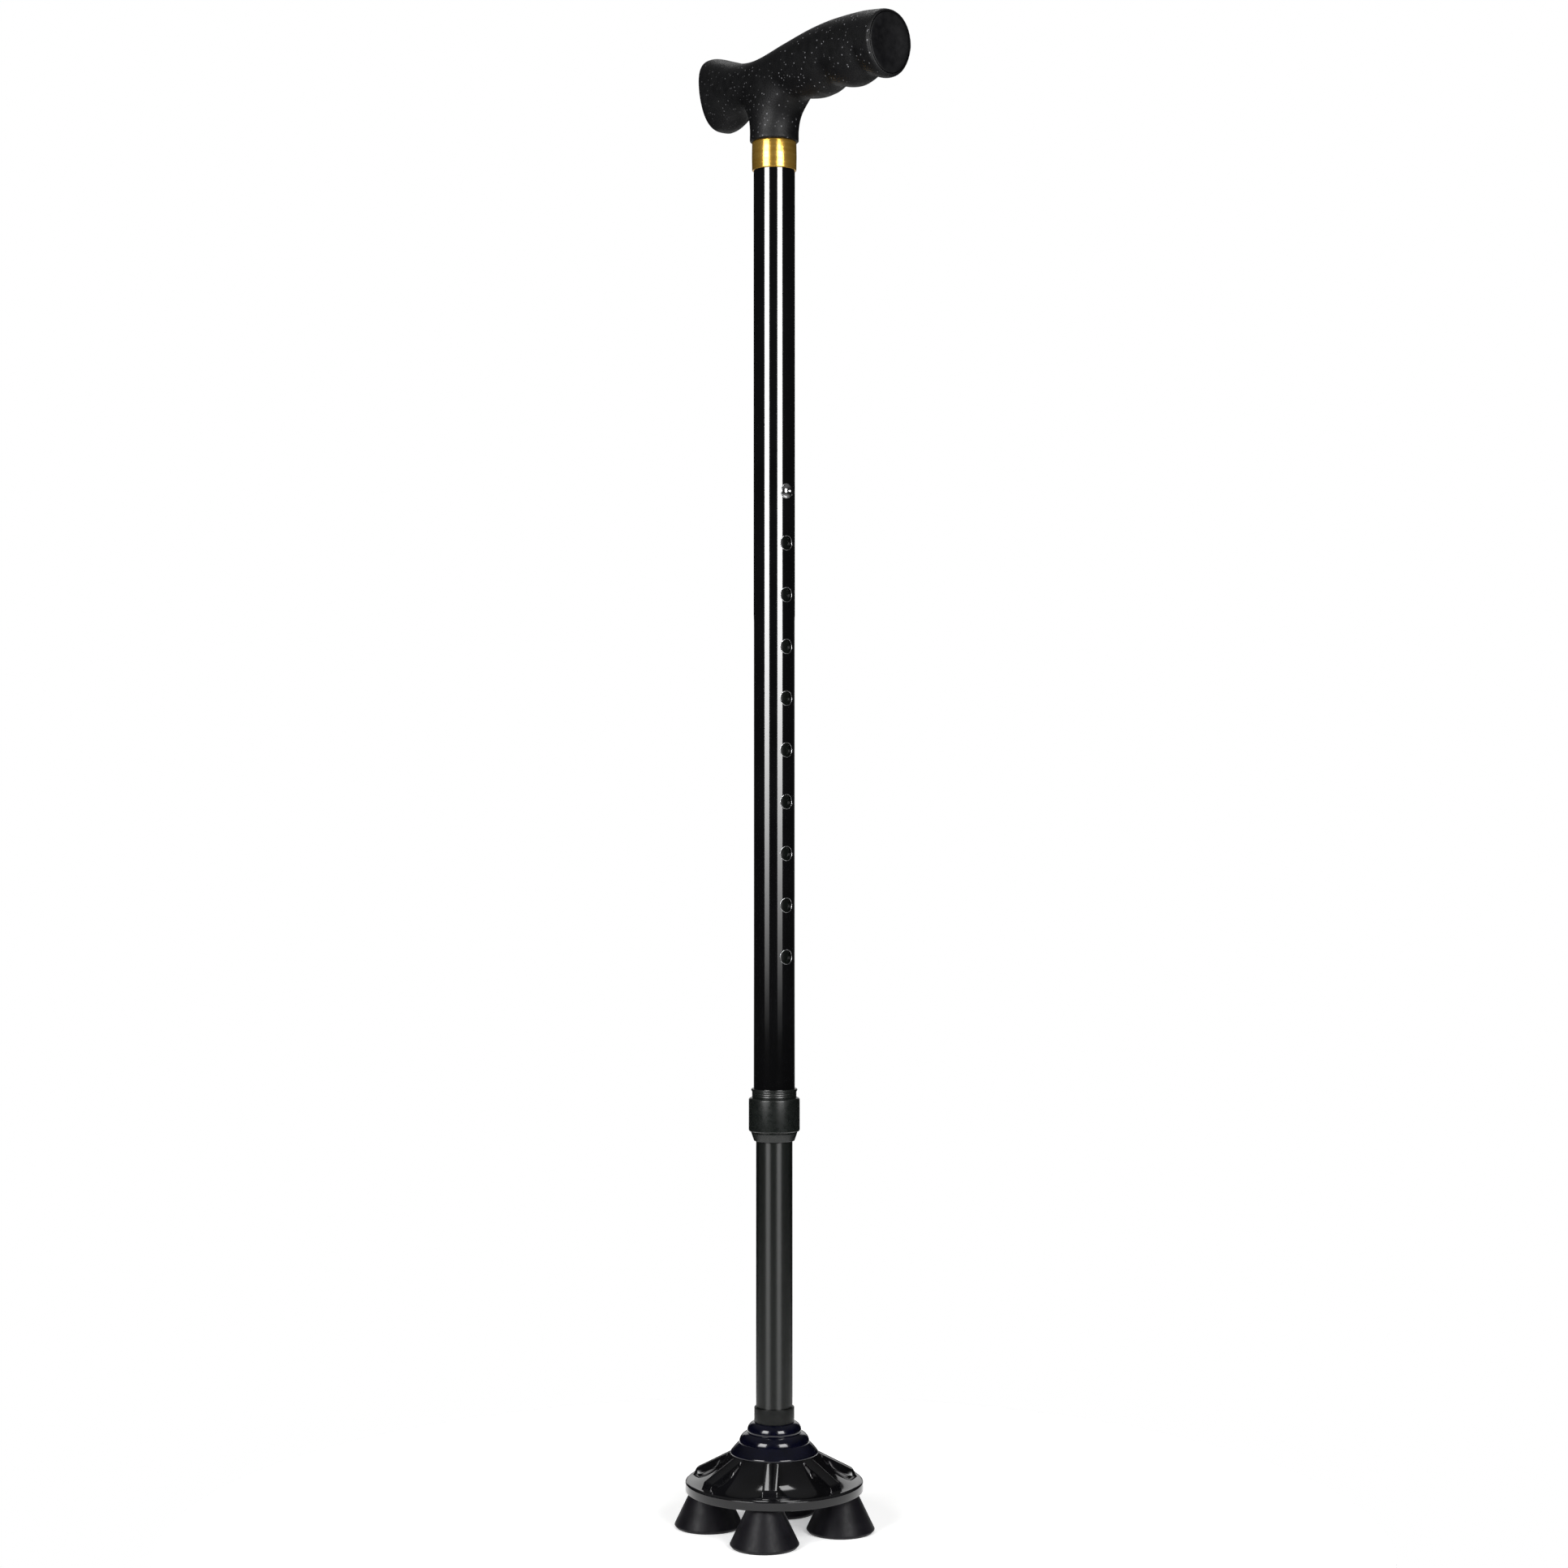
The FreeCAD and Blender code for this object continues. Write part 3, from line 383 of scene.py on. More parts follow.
def makeFinish(name, v):
    shared = patternValues
    material = bpy.data.materials.new(name + "Finish")
    material.use_nodes = True
    tree = material.node_tree
    links, shader = tree.links, tree.nodes["Principled BSDF"]
    fixed = {"Metallic": v.get("metal", 0.0), "Coat Weight": v.get("coat", 0.0),
             "Coat Roughness": shared["coatRoughness"], "Specular IOR Level": v.get("specular", 0.5)}
    if v.get("brushed"):
        # highlights drawn out along the length of the tube
        fixed.update({"Anisotropic": v["brushed"], "Anisotropic Rotation": shared["brushTurn"]})
        around = addNode(tree, "ShaderNodeTangent", direction_type="RADIAL", axis="Z")
        links.new(around.outputs["Tangent"], shader.inputs["Tangent"])
    for socket, value in fixed.items():
        shader.inputs[socket].default_value = value

    place = addNode(tree, "ShaderNodeTexCoord").outputs["Object"]
    stretched = addNode(tree, "ShaderNodeMapping", {
        "Vector": place, "Scale": v.get("stretch", (1.0, 1.0, 1.0))}).outputs["Vector"]

    def noise(size, detail):
        return addNode(tree, "ShaderNodeTexNoise", {
            "Vector": stretched, "Scale": 1.0 / (size * mm), "Detail": detail}).outputs["Fac"]

    def mapped(value, limits, results=(0.0, 1.0)):
        return addNode(tree, "ShaderNodeMapRange", {
            "Value": value, "From Min": limits[0], "From Max": limits[1],
            "To Min": results[0], "To Max": results[1]}).outputs["Result"]

    def product(first, second):
        return addNode(tree, "ShaderNodeMath", {0: first, 1: second}, operation="MULTIPLY").outputs[0]

    def mixed(share, first, second):
        # inputs 6 and 7 and output 2 are the colour ones
        return addNode(tree, "ShaderNodeMix", {0: share, 6: first, 7: second}, data_type="RGBA").outputs[2]

    mottle = mapped(noise(v["mottle"], shared["toneDetail"]), shared["toneRange"])
    colour = mixed(mottle, (*v["tones"][0], 1), (*v["tones"][1], 1))
    wander = noise(v["mottle"] * shared["wanderSize"], shared["wanderDetail"])
    links.new(mapped(wander, shared["wanderRange"], v["roughness"]), shader.inputs["Roughness"])
    height = noise(v["grain"], shared["grainDetail"])
    if v.get("pebbles"):
        # moulded leather-like pebbles over the fine noise
        pebble = addNode(tree, "ShaderNodeTexVoronoi", {
            "Vector": stretched, "Scale": 1.0 / (v["grain"] * mm), "Smoothness": shared["pebbleSmooth"]},
            feature="SMOOTH_F1")
        height = addNode(tree, "ShaderNodeMath", {
            0: pebble.outputs["Distance"], 1: shared["pebbleHeight"], 2: height},
            operation="MULTIPLY_ADD").outputs[0]
    if v.get("paintedGlints"):
        # painted glints: a few small spots painted lighter than the rest as highlights on the grain, more of
        # them towards the nose
        cell = addNode(tree, "ShaderNodeTexVoronoi", {
            "Vector": stretched, "Scale": 1.0 / (v["glintSize"] * mm)})
        tint = addNode(tree, "ShaderNodeSeparateColor", {0: cell.outputs["Color"]})
        along = addNode(tree, "ShaderNodeSeparateXYZ", {0: place})
        picked = mapped(tint.outputs["Red"], shared["glintPick"])
        core = mapped(cell.outputs["Distance"], shared["glintEdge"])
        crowd = mapped(along.outputs["X"], (v["glintsFrom"] * mm, v["glintsTo"] * mm),
                       (shared["glintFewest"], 1.0))
        light = v["paintedGlints"]
        colour = mixed(product(product(picked, core), crowd), colour,
                       (light, light, light * shared["glintBlue"], 1))
    links.new(colour, shader.inputs["Base Color"])
    bump = addNode(tree, "ShaderNodeBump", {"Strength": 1.0, "Distance": v["depth"] * mm, "Height": height})
    links.new(bump.outputs["Normal"], shader.inputs["Normal"])
    return material


finish = {name: makeFinish(name, values) for name, values in finishes.items()}
slotOf = {}
for nodeName, cadNode in cadNodes.items():
    slotOf[nodeName] = cadNode.material_slots[0].material.name.split(".")[0]
    cadNode.material_slots[0].material = finish[slotOf[nodeName]]
print("stage:", len(finish), "finishes on", len(cadNodes), "CAD nodes")


# Handle grip

gripValues = {
    # place ahead of the axis, height of the top line
    "topLine": [(-48.0, 734.1), (-42.0, 734.2), (-34.0, 731.2), (-24.0, 727.8), (-12.0, 726.1), (0.0, 726.5),
                (18.0, 729.4), (37.0, 732.3), (52.0, 733.2), (65.0, 733.1), (77.5, 732.3), (90.5, 730.6)],
    "underLine": [(-48.0, 697.0), (-42.0, 696.2), (-34.0, 698.0), (-24.0, 702.6), (0.0, 704.0), (18.0, 702.6),
                  (28.0, 700.4), (37.0, 699.2), (44.0, 700.0), (52.0, 702.0), (58.0, 700.2), (65.0, 699.2),
                  (71.0, 700.3), (77.5, 702.4), (82.0, 700.1), (86.0, 698.9), (90.5, 698.9)],
    "halfWidth": [(-48.0, 12.5), (-42.0, 12.6), (-24.0, 12.2), (0.0, 12.9), (18.0, 13.5), (37.0, 13.7),
                  (52.0, 13.7), (65.0, 13.7), (77.5, 13.6), (90.5, 13.4)],
    # exponent of the section along the grip: 2 is an ellipse
    "squareness": [(-48.0, 2.8), (-24.0, 2.5), (52.0, 2.4), (77.5, 2.3), (90.5, 2.15)],
    "egg": 0.12,             # how much narrower the underside is than the top
    "tailEnd": -48.0, "noseEnd": 90.5,
    "tailRoll": 2.3, "noseRoll": 1.4, "rollSteps": 8,
    "tailLean": 0.155,       # the tail face leans back towards its top
    "leanFrom": -48.0, "leanTo": -26.0,
    "scoops": [(52.0, 8.0), (77.5, 6.0)],   # finger hollows: place and length
    "scoopDepth": 0.9, "scoopNarrow": 1.6, "scoopFrom": 0.1,
    "ringStep": 1.1, "around": 96,
}
neckValues = {
    # height, reach behind the axis, reach ahead, half width
    "sections": [(684.1, 12.1, 12.1, 12.1), (690.5, 12.2, 12.5, 12.1), (697.0, 13.8, 15.8, 12.3),
                 (701.5, 17.4, 22.2, 12.6), (707.0, 21.0, 29.5, 12.7), (713.0, 23.5, 34.0, 12.5),
                 (718.0, 23.0, 33.0, 11.0)],
    "step": 0.9, "around": 72,
}
capValues = {
    "inset": 1.5, "gap": 0.14, "depth": 2.0, "bottomGap": 0.05, "edge": 0.45, "edgeSteps": 5,
    "dish": 0.45, "dishTo": 0.75, "faceReach": 9.9, "faceLeft": 0.6, "faceSteps": 15, "around": 96,
    # mouth of its pocket in the grip
    "mouth": 0.4, "flare": 0.35, "flareTop": 0.05, "cutPast": 3.0,
}
sculptValues = {"voxel": 0.62, "soften": 6, "softenShare": 0.5, "throatSoften": 44,
                "throatLow": 687.0, "throatHigh": 719.0, "throatReach": 42.0,
                "collarGap": 0.02, "sharpFrom": 48.0}


def gripSection(place, inset, count):
    # Points (x, y, z) of the grip's section at that place, pulled in by inset.
    v = gripValues
    top = smoothLine(v["topLine"], place) - inset
    under = smoothLine(v["underLine"], place) + inset
    wide = smoothLine(v["halfWidth"], place) - inset
    middle, tall = (top + under) / 2, (top - under) / 2
    lean = v["tailLean"] * (1 - ease(place, v["leanFrom"], v["leanTo"]))
    power = 2 / smoothLine(v["squareness"], place)
    points = []
    for k in range(count):
        angle = 2 * math.pi * k / count
        c, s = math.cos(angle), math.sin(angle)
        y = wide * math.copysign(abs(c) ** power, c)
        z = tall * math.copysign(abs(s) ** power, s)
        low = ease(-z / tall, v["scoopFrom"], 1.0)
        y *= 1 - v["egg"] * max(0.0, -z / tall)
        scoop = sum(math.exp(-((place - at) / length * v["scoopNarrow"]) ** 2) for at, length in v["scoops"])
        y -= math.copysign(min(abs(y), v["scoopDepth"] * scoop * low * abs(c)), y)
        points.append((-z * lean, y, middle + z))
    return points


def rolledEnds():
    # (place, inset) of every ring from the tail to the nose, both ends rolled over
    v = gripValues
    turns = [math.pi / 2 * k / v["rollSteps"] for k in range(v["rollSteps"] + 1)]
    tail = [(v["tailEnd"] + v["tailRoll"] * (1 - math.sin(a)), v["tailRoll"] * (1 - math.cos(a)))
            for a in reversed(turns)]
    nose = [(v["noseEnd"] - v["noseRoll"] * (1 - math.sin(a)), v["noseRoll"] * (1 - math.cos(a)))
            for a in turns]
    first, last = v["tailEnd"] + v["tailRoll"], v["noseEnd"] - v["noseRoll"]
    count = round((last - first) / v["ringStep"])
    return tail + [(first + (last - first) * k / count, 0.0) for k in range(1, count)] + nose


def gripShells():
    # The bar of the grip and its neck as two closed shells in one mesh.
    around = gripValues["around"]
    points, rings = [], 0
    for place, inset in rolledEnds():
        points += [(place + x, y, z) for x, y, z in gripSection(place, inset, around)]
        rings += 1
    faces = bandFaces(rings, around)
    start, count = len(points), neckValues["around"]
    low, high = neckValues["sections"][0][0], neckValues["sections"][-1][0]
    steps = round((high - low) / neckValues["step"])
    for i in range(steps + 1):
        height = low + (high - low) * i / steps
        behind, ahead, wide = (smoothLine([(s[0], s[j]) for s in neckValues["sections"]], height)
                               for j in (1, 2, 3))
        for k in range(count):
            angle = 2 * math.pi * k / count
            reach = ahead if math.cos(angle) > 0 else behind
            points.append((reach * math.cos(angle), wide * math.sin(angle), height))
    faces += [tuple(start + i for i in face) for face in bandFaces(steps + 1, count)]
    return closedMesh("sculptedGrip", points, faces)


def noseOutline(extra, place):
    # The nose cap's outline at a place along the grip, grown by extra.
    section = gripSection(gripValues["noseEnd"], capValues["inset"] - extra, capValues["around"])
    return [(place, y, z) for _, y, z in section]


def nosePocket():
    # What is cut from the grip to seat the cap: straight walls with a small flare at the mouth.
    nose, v = gripValues["noseEnd"], capValues
    wide = v["gap"] + v["flare"]
    rings = [(v["gap"], nose - v["depth"]), (v["gap"], nose - v["mouth"]), (wide, nose + v["flareTop"]),
             (wide, nose + v["cutPast"])]
    points = [p for extra, place in rings for p in noseOutline(extra, place)]
    return closedMesh("nosePocket", points, bandFaces(len(rings), v["around"]))


def sculptGrip(v):
    grip = gripShells()
    remesh = grip.modifiers.new("oneSkin", "REMESH")
    remesh.mode = "VOXEL"
    remesh.voxel_size = v["voxel"] * mm
    soften = grip.modifiers.new("soften", "SMOOTH")
    soften.factor = v["softenShare"]
    soften.iterations = v["soften"]
    evaluated(grip)
    # the throat between bar and neck is worked over until its fillets run smoothly
    shape = bmesh.new()
    shape.from_mesh(grip.data)
    throat = [vert for vert in shape.verts
              if v["throatLow"] * mm < vert.co.z < v["throatHigh"] * mm
              and abs(vert.co.x) < v["throatReach"] * mm]
    for _ in range(v["throatSoften"]):
        bmesh.ops.smooth_vert(shape, verts=throat, factor=v["softenShare"], use_axis_x=True,
                              use_axis_y=True, use_axis_z=True)
    # the neck stands flat on the collar
    foot = neckValues["sections"][0][0] * mm
    for vert in shape.verts:
        vert.co.z = max(vert.co.z, foot + v["collarGap"] * mm)
    shape.to_mesh(grip.data)
    shape.free()
    pocket = nosePocket()
    cut = grip.modifiers.new("noseRecess", "BOOLEAN")
    cut.operation = "DIFFERENCE"
    cut.solver = "EXACT"
    cut.object = pocket
    evaluated(grip)
    bpy.data.objects.remove(pocket)
    grip.data.shade_smooth()
    grip.data.set_sharp_from_angle(angle=math.radians(v["sharpFrom"]))
    return grip


def makeNoseCap(v):
    # A shallow dished cover with a rounded edge.
    nose, around = gripValues["noseEnd"], v["around"]
    rings = [(0.0, nose - v["depth"] + v["bottomGap"]), (0.0, nose - v["edge"])]
    for k in range(1, v["edgeSteps"] + 1):
        angle = math.pi / 2 * k / v["edgeSteps"]
        rings.append((-v["edge"] * (1 - math.cos(angle)), nose - v["edge"] * (1 - math.sin(angle))))
    points = [p for extra, place in rings for p in noseOutline(extra, place)]
    # the dish shrinks the edge's last outline towards the middle
    edgeLoop = noseOutline(-v["edge"], nose)
    centreHeight = sum(p[2] for p in noseOutline(0.0, 0.0)) / around
    for k in range(1, v["faceSteps"]):
        share = k / v["faceSteps"]
        place = nose - v["dish"] * ease(share, 0.0, v["dishTo"])
        keep = 1 - v["faceReach"] * share / (v["faceReach"] + v["faceLeft"])
        points += [(place, y * keep, centreHeight + (z - centreHeight) * keep) for _, y, z in edgeLoop]
    count = len(rings) + v["faceSteps"] - 1
    return closedMesh("dishedNoseCap", points, bandFaces(count, around), sharp=60)


settle(sculptGrip(sculptValues), "upper", "grip_black", finish["grip_black"], "handle_grip")
settle(makeNoseCap(capValues), "upper", "cap_black", finish["cap_black"], "nose_cap")
print("stage: handle grip and nose cap")


# Collar

collarValues = {"radius": 11.05, "bore": 10.22, "bottom": 670.0, "top": 684.1, "roll": 0.5,
                "belly": 0.12, "sides": 192}


def makeCollar(v):
    # A drawn ring with rolled edges and a barely barrelled side.
    half, edge = (v["top"] - v["bottom"]) / 2, v["radius"] - v["belly"]
    side = [(v["bore"], v["bottom"]), (edge, v["bottom"], v["roll"]), (v["radius"], v["bottom"] + half, half),
            (edge, v["top"], v["roll"]), (v["bore"], v["top"])]
    return turnedPiece("polishedCollar", roundCorners(side), sides=v["sides"])


settle(makeCollar(collarValues), "upper", "collar_brass", finish["collar_brass"], "brass_collar")
print("stage: collar")


# Rims of the height holes

rimValues = {"Rim count": 10, "Pitch": 25.4 * mm, "First height": 282.7 * mm, "Tube radius": 10.2 * mm,
             "Hole radius": 3.56 * mm, "Rim thickness": 0.10 * mm, "Steps round": 56, "Steps across": 10}


def rimTree():
    # Rings bent onto the round of a tube, one above the other.
    tree = newTree("holeRims", [
        ("Rim count", "Int"), ("Steps round", "Int"), ("Steps across", "Int"), ("Pitch", "Float"),
        ("First height", "Float"), ("Tube radius", "Float"), ("Hole radius", "Float"),
        ("Rim thickness", "Float")])
    given = addNode(tree, "NodeGroupInput").outputs

    def maths(operation, *values):
        return addNode(tree, "ShaderNodeMath", dict(enumerate(values)), operation=operation).outputs[0]

    ring = addNode(tree, "GeometryNodeCurvePrimitiveCircle", {
        "Resolution": given["Steps round"], "Radius": given["Hole radius"]})
    where = addNode(tree, "GeometryNodeInputPosition")
    split = addNode(tree, "ShaderNodeSeparateXYZ", {0: where.outputs[0]}).outputs
    across = maths("MULTIPLY", split["X"], split["X"])
    squared = maths("MULTIPLY", given["Tube radius"], given["Tube radius"])
    out = maths("SQRT", maths("SUBTRACT", squared, across))
    bent = addNode(tree, "ShaderNodeCombineXYZ", {"X": out, "Y": split["X"], "Z": split["Y"]})
    move = addNode(tree, "GeometryNodeSetPosition", {
        "Geometry": ring.outputs["Curve"], "Position": bent.outputs[0]})
    wire = addNode(tree, "GeometryNodeCurvePrimitiveCircle", {
        "Resolution": given["Steps across"], "Radius": given["Rim thickness"]})
    sweep = addNode(tree, "GeometryNodeCurveToMesh", {
        "Curve": move.outputs[0], "Profile Curve": wire.outputs["Curve"]})
    start = addNode(tree, "ShaderNodeCombineXYZ", {"Z": given["First height"]})
    pitch = addNode(tree, "ShaderNodeCombineXYZ", {"Z": given["Pitch"]})
    row = addNode(tree, "GeometryNodeMeshLine", {
        "Count": given["Rim count"], "Start Location": start.outputs[0], "Offset": pitch.outputs[0]},
        mode="OFFSET")
    place = addNode(tree, "GeometryNodeInstanceOnPoints", {
        "Points": row.outputs[0], "Instance": sweep.outputs[0]})
    smooth = addNode(tree, "GeometryNodeSetShadeSmooth", {0: place.outputs[0]})
    real = addNode(tree, "GeometryNodeRealizeInstances", {0: smooth.outputs[0]})
    coat = addNode(tree, "GeometryNodeSetMaterial", {0: real.outputs[0], "Material": given["Finish"]})
    addNode(tree, "NodeGroupOutput", {0: coat.outputs[0]})
    return tree


rims = bpy.data.objects.new("holeRims", bpy.data.meshes.new("holeRims"))
scene.collection.objects.link(rims)
evaluated(setInputs(rims, rimTree(), {**rimValues, "Finish": finish["bare_aluminium"]}))
settle(rims, "upper", "bare_aluminium", finish["bare_aluminium"])
print("stage: hole rims")


# Twist lock

lockValues = {"bore": 10.22, "lipRadius": 11.4, "lipTop": 217.4, "lipBottom": 216.4, "bodyRadius": 11.1,
              "ridges": 3, "ridgeDepth": 0.22, "ridgeCurve": 1.35, "ridgeSteps": 8, "bottom": 213.05,
              "sleeveRadius": 10.9, "sleeveBottom": 203.0, "sleeveRound": 0.3, "sleeveStep": 0.02,
              "endBore": 9.3, "endTop": 204.0, "lipSeat": 0.2, "lipFootRound": 0.2, "lipRound": 0.4,
              "sides": 160}
nutValues = {"radius": 12.6, "bottom": 196.1, "top": 212.9, "edge": 0.95, "step": 11.35, "tailTop": 195.6,
             "tailRadius": 10.0, "tail": 191.7, "mouth": 9.25, "thread": 11.0, "shoulder": 202.5,
             "cone": 10.4, "coneFoot": 194.0, "coneFootRadius": 9.6, "tailRound": 0.35, "stepRound": 0.8,
             "stepTop": 0.3, "edgeDrop": 0.05, "sides": 160}


def makeLockSocket(v):
    # The collar glued into the upper tube: a lip, then rounded ridges down to the nut.
    ridges, valley = [], v["bodyRadius"] - v["ridgeDepth"]
    pitch = (v["lipBottom"] - v["bottom"]) / v["ridges"]
    for k in range(v["ridges"]):
        low = v["bottom"] + k * pitch
        ridges.append(Vector((valley, low)))
        ridges += arcBetween((valley, low), (valley, low + pitch), v["ridgeCurve"], v["ridgeSteps"])
    sleeve = roundCorners([
        (v["endBore"], v["sleeveBottom"]), (v["sleeveRadius"], v["sleeveBottom"], v["sleeveRound"]),
        (v["sleeveRadius"], v["bottom"] - v["sleeveStep"]),
    ])
    lip = roundCorners([
        (v["bodyRadius"] - v["lipSeat"], v["lipBottom"]), (v["lipRadius"], v["lipBottom"], v["lipFootRound"]),
        (v["lipRadius"], v["lipTop"], v["lipRound"]), (v["bore"], v["lipTop"]),
        (v["bore"], v["endTop"]), (v["endBore"], v["endTop"]),
    ])
    return turnedPiece("ridgedLockSocket", sleeve + ridges + lip, sides=v["sides"])


def makeLockNut(v):
    # A short tail, a step out to the grip, and inside the thread and the cone that closes the ring.
    outline = roundCorners([
        (v["mouth"], v["tail"]), (v["tailRadius"], v["tail"], v["tailRound"]),
        (v["step"], v["tailTop"], v["stepRound"]), (v["step"], v["bottom"] + v["stepTop"]),
        (v["radius"], v["bottom"] + v["edgeDrop"], v["edge"]),
        (v["radius"], v["top"], v["edge"]), (v["thread"], v["top"]), (v["thread"], v["shoulder"]),
        (v["cone"], v["shoulder"]), (v["coneFootRadius"], v["coneFoot"]), (v["mouth"], v["coneFoot"]),
    ])
    return turnedPiece("twistNut", outline, sides=v["sides"])


settle(makeLockSocket(lockValues), "upper", slotOf["lock_socket"], finish["nut_plastic"], "lock_socket")
settle(makeLockNut(nutValues), "nut", slotOf["lock_nut"], finish["nut_plastic"], "lock_nut")
print("stage: twist lock")


# Spring of the snap button: a U of flat strip

springValues = {"back": -7.1, "front": 5.9, "gauge": 0.6, "width": 7.0, "corner": 0.4,
                "bend": 479.3, "legTop": 517.3, "bendSteps": 20, "legSteps": 8}


def makeButtonSpring(v):
    middle, radius = (v["back"] + v["front"]) / 2, (v["front"] - v["back"]) / 2
    rise = v["legTop"] - v["bend"]
    path = [(v["front"], v["legTop"] - rise * k / v["legSteps"], 0.0) for k in range(v["legSteps"])]
    path += [(middle + radius * math.cos(a), v["bend"] - radius * math.sin(a), a)
             for a in (math.pi * k / v["bendSteps"] for k in range(v["bendSteps"] + 1))]
    path += [(v["back"], v["bend"] + rise * k / v["legSteps"], math.pi) for k in range(1, v["legSteps"] + 1)]
    points, half = [], v["width"] / 2
    for k, (x, z, turn) in enumerate(path):
        narrow = v["corner"] if k in (0, len(path) - 1) else 0.0
        inward = Vector((-math.cos(turn), math.sin(turn))) * v["gauge"]
        for side, deep in ((-1, 0), (1, 0), (1, 1), (-1, 1)):
            points.append((x + inward.x * deep, side * (half - narrow), z + inward.y * deep))
    return closedMesh("buttonSpringStrip", points, bandFaces(len(path), 4))


strip = settle(makeButtonSpring(springValues), None, "spring_steel", finish["spring_steel"], "button_spring")
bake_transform(strip)
print("stage: button spring")


# Neck sleeve and boot

sleeveValues = {"bore": 9.02, "radius": 9.875, "bottom": 53.1, "bottomEdge": 0.15, "top": 60.5, "edge": 0.35}
bootValues = {
    "foot": 37.7, "skirtRadius": 21.7, "skirtEdge": 38.4, "skirtInner": 19.7, "skirtCurve": 30.0,
    "skirtSteps": 14, "footBevel": 0.15, "edgeBand": 0.2,
    "waistRadius": 17.4, "waist": 43.2, "lowBead": 5.2, "neckRadius": 13.3, "neck": 48.1, "highBead": 4.6,
    "beadSteps": 26, "lipRadius": 10.4, "lip": 53.1, "tubeRadius": 9.02, "gripBottom": 50.2, "gripTop": 52.6,
    "neckInner": 11.3, "split": 45.0, "beadInner": (15.3, 44.0), "waistInner": (17.6, 40.6), "sides": 160,
}


def makeSleeve(v):
    outline = roundCorners([(v["bore"], v["bottom"]), (v["radius"], v["bottom"], v["bottomEdge"]),
                            (v["radius"], v["top"], v["edge"]), (v["bore"], v["top"])])
    return turnedPiece("neckSleeve", outline)


def bootSplit(v):
    # The wide bead's arc, where it is split in two, and the inner face level with the split.
    bead = arcBetween((v["waistRadius"], v["waist"]), (v["neckRadius"], v["neck"]), v["lowBead"],
                      v["beadSteps"])
    at = min(range(len(bead)), key=lambda i: abs(bead[i].y - v["split"]))
    share = (bead[at].y - v["beadInner"][1]) / (v["neck"] - v["beadInner"][1])
    inner = Vector(v["beadInner"]).lerp(Vector((v["neckInner"], v["neck"])), share)
    return bead, at, inner


def makeBootSkirt(v):
    # The cone and the lower part of the wide bead.
    bead, at, inner = bootSplit(v)
    wide, foot, top = v["skirtRadius"], v["foot"], v["skirtEdge"]
    outline = [Vector(corner) for corner in (
        (v["skirtInner"], foot), (wide - v["footBevel"], foot), (wide, foot + v["footBevel"]),
        (wide, top - v["edgeBand"]), (wide, top))]
    outline += arcBetween((wide, top), (v["waistRadius"], v["waist"]), v["skirtCurve"], v["skirtSteps"])
    outline += bead[:at + 1] + [inner, Vector(v["beadInner"]), Vector(v["waistInner"])]
    return turnedPiece("bootSkirt", outline, sides=v["sides"])


def makeBootNeck(v):
    # The rest of the wide bead, the narrow bead and the lip that grips the tube.
    bead, at, inner = bootSplit(v)
    outline = [inner] + bead[at:]
    outline += arcBetween((v["neckRadius"], v["neck"]), (v["lipRadius"], v["lip"]), v["highBead"],
                          v["beadSteps"])
    outline += [Vector((v["tubeRadius"], v["lip"])), Vector((v["tubeRadius"], v["gripBottom"])),
                Vector((v["neckInner"], v["neck"]))]
    return turnedPiece("bootNeck", outline, sides=v["sides"])


settle(makeSleeve(sleeveValues), "stem", slotOf["neck_sleeve"], finish["sleeve_grey"], "neck_sleeve")
skirt = settle(makeBootSkirt(bootValues), None, "boot_rubber", finish["boot_rubber"], "rubber_boot")
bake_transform(skirt)
neckBead = settle(makeBootNeck(bootValues), None, "boot_rubber", finish["boot_rubber"], "rubber_boot")
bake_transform(neckBead)
print("stage: sleeve and boot")


# Base shell

baseValues = {
    "rimRadius": 43.85, "rimBottom": 19.7, "rimTop": 23.85, "shoulder": 42.85, "flareFoot": 24.6,
    "flareCurve": 27.6, "topRadius": 21.8, "top": 37.7, "rimRound": 0.45,
    "ribs": 7, "ribTurn": -40.0, "ribHalf": 4.0, "ribFootRadius": 40.0, "ribFoot": 28.1,
    "ribFall": 2.6, "ribFootLead": 0.8, "ribFootEase": 0.9, "ribSideFall": 9.0,
    "ribCrown": 0.2, "ribRound": 0.55, "ribFillet": 0.6,
    # how far from a rib's middle its columns of points stand, closest together at its side
    "ribColumns": [1.3, 2.3, 2.9, 3.2, 3.4, 3.55, 3.7, 3.85, 4.0, 4.15, 4.35, 4.65, 5.1, 5.8],
    "hubBore": 13.0, "hubRadius": 18.0, "hubBottom": 22.0, "ceilingTop": 34.8, "ceilingTopRadius": 20.2,
    "ceilingFoot": 22.6, "rimInner": 41.3, "ceilingCurve": 27.0, "ceilingSteps": 20,
    "rimFootRound": 0.3, "shoulderDrop": 0.1, "rows": 64, "fieldColumns": 16,
}


def ribHeight(v, radius, aside):
    # Height of a rib's crowned back at a radius, falling away steeply past its half width.
    slope = (v["top"] - v["ribFoot"]) / (v["ribFootRadius"] - v["topRadius"])
    back = v["top"] - slope * (radius - v["topRadius"])
    past = max(0.0, radius - v["ribFootRadius"] + v["ribFootLead"])
    back -= v["ribFall"] * past ** 2 / (past + v["ribFootEase"])
    aside = abs(aside)
    back -= v["ribCrown"] * (aside / v["ribHalf"]) ** 2
    over = max(0.0, aside - (v["ribHalf"] - v["ribRound"]))
    return back - v["ribSideFall"] * (over / v["ribRound"]) ** 3


def blendedTop(first, second, width):
    # The higher of two heights, with a fillet of that width where they meet.
    gap = max(0.0, width - abs(first - second)) / width
    return max(first, second) + gap * gap * width * 0.25


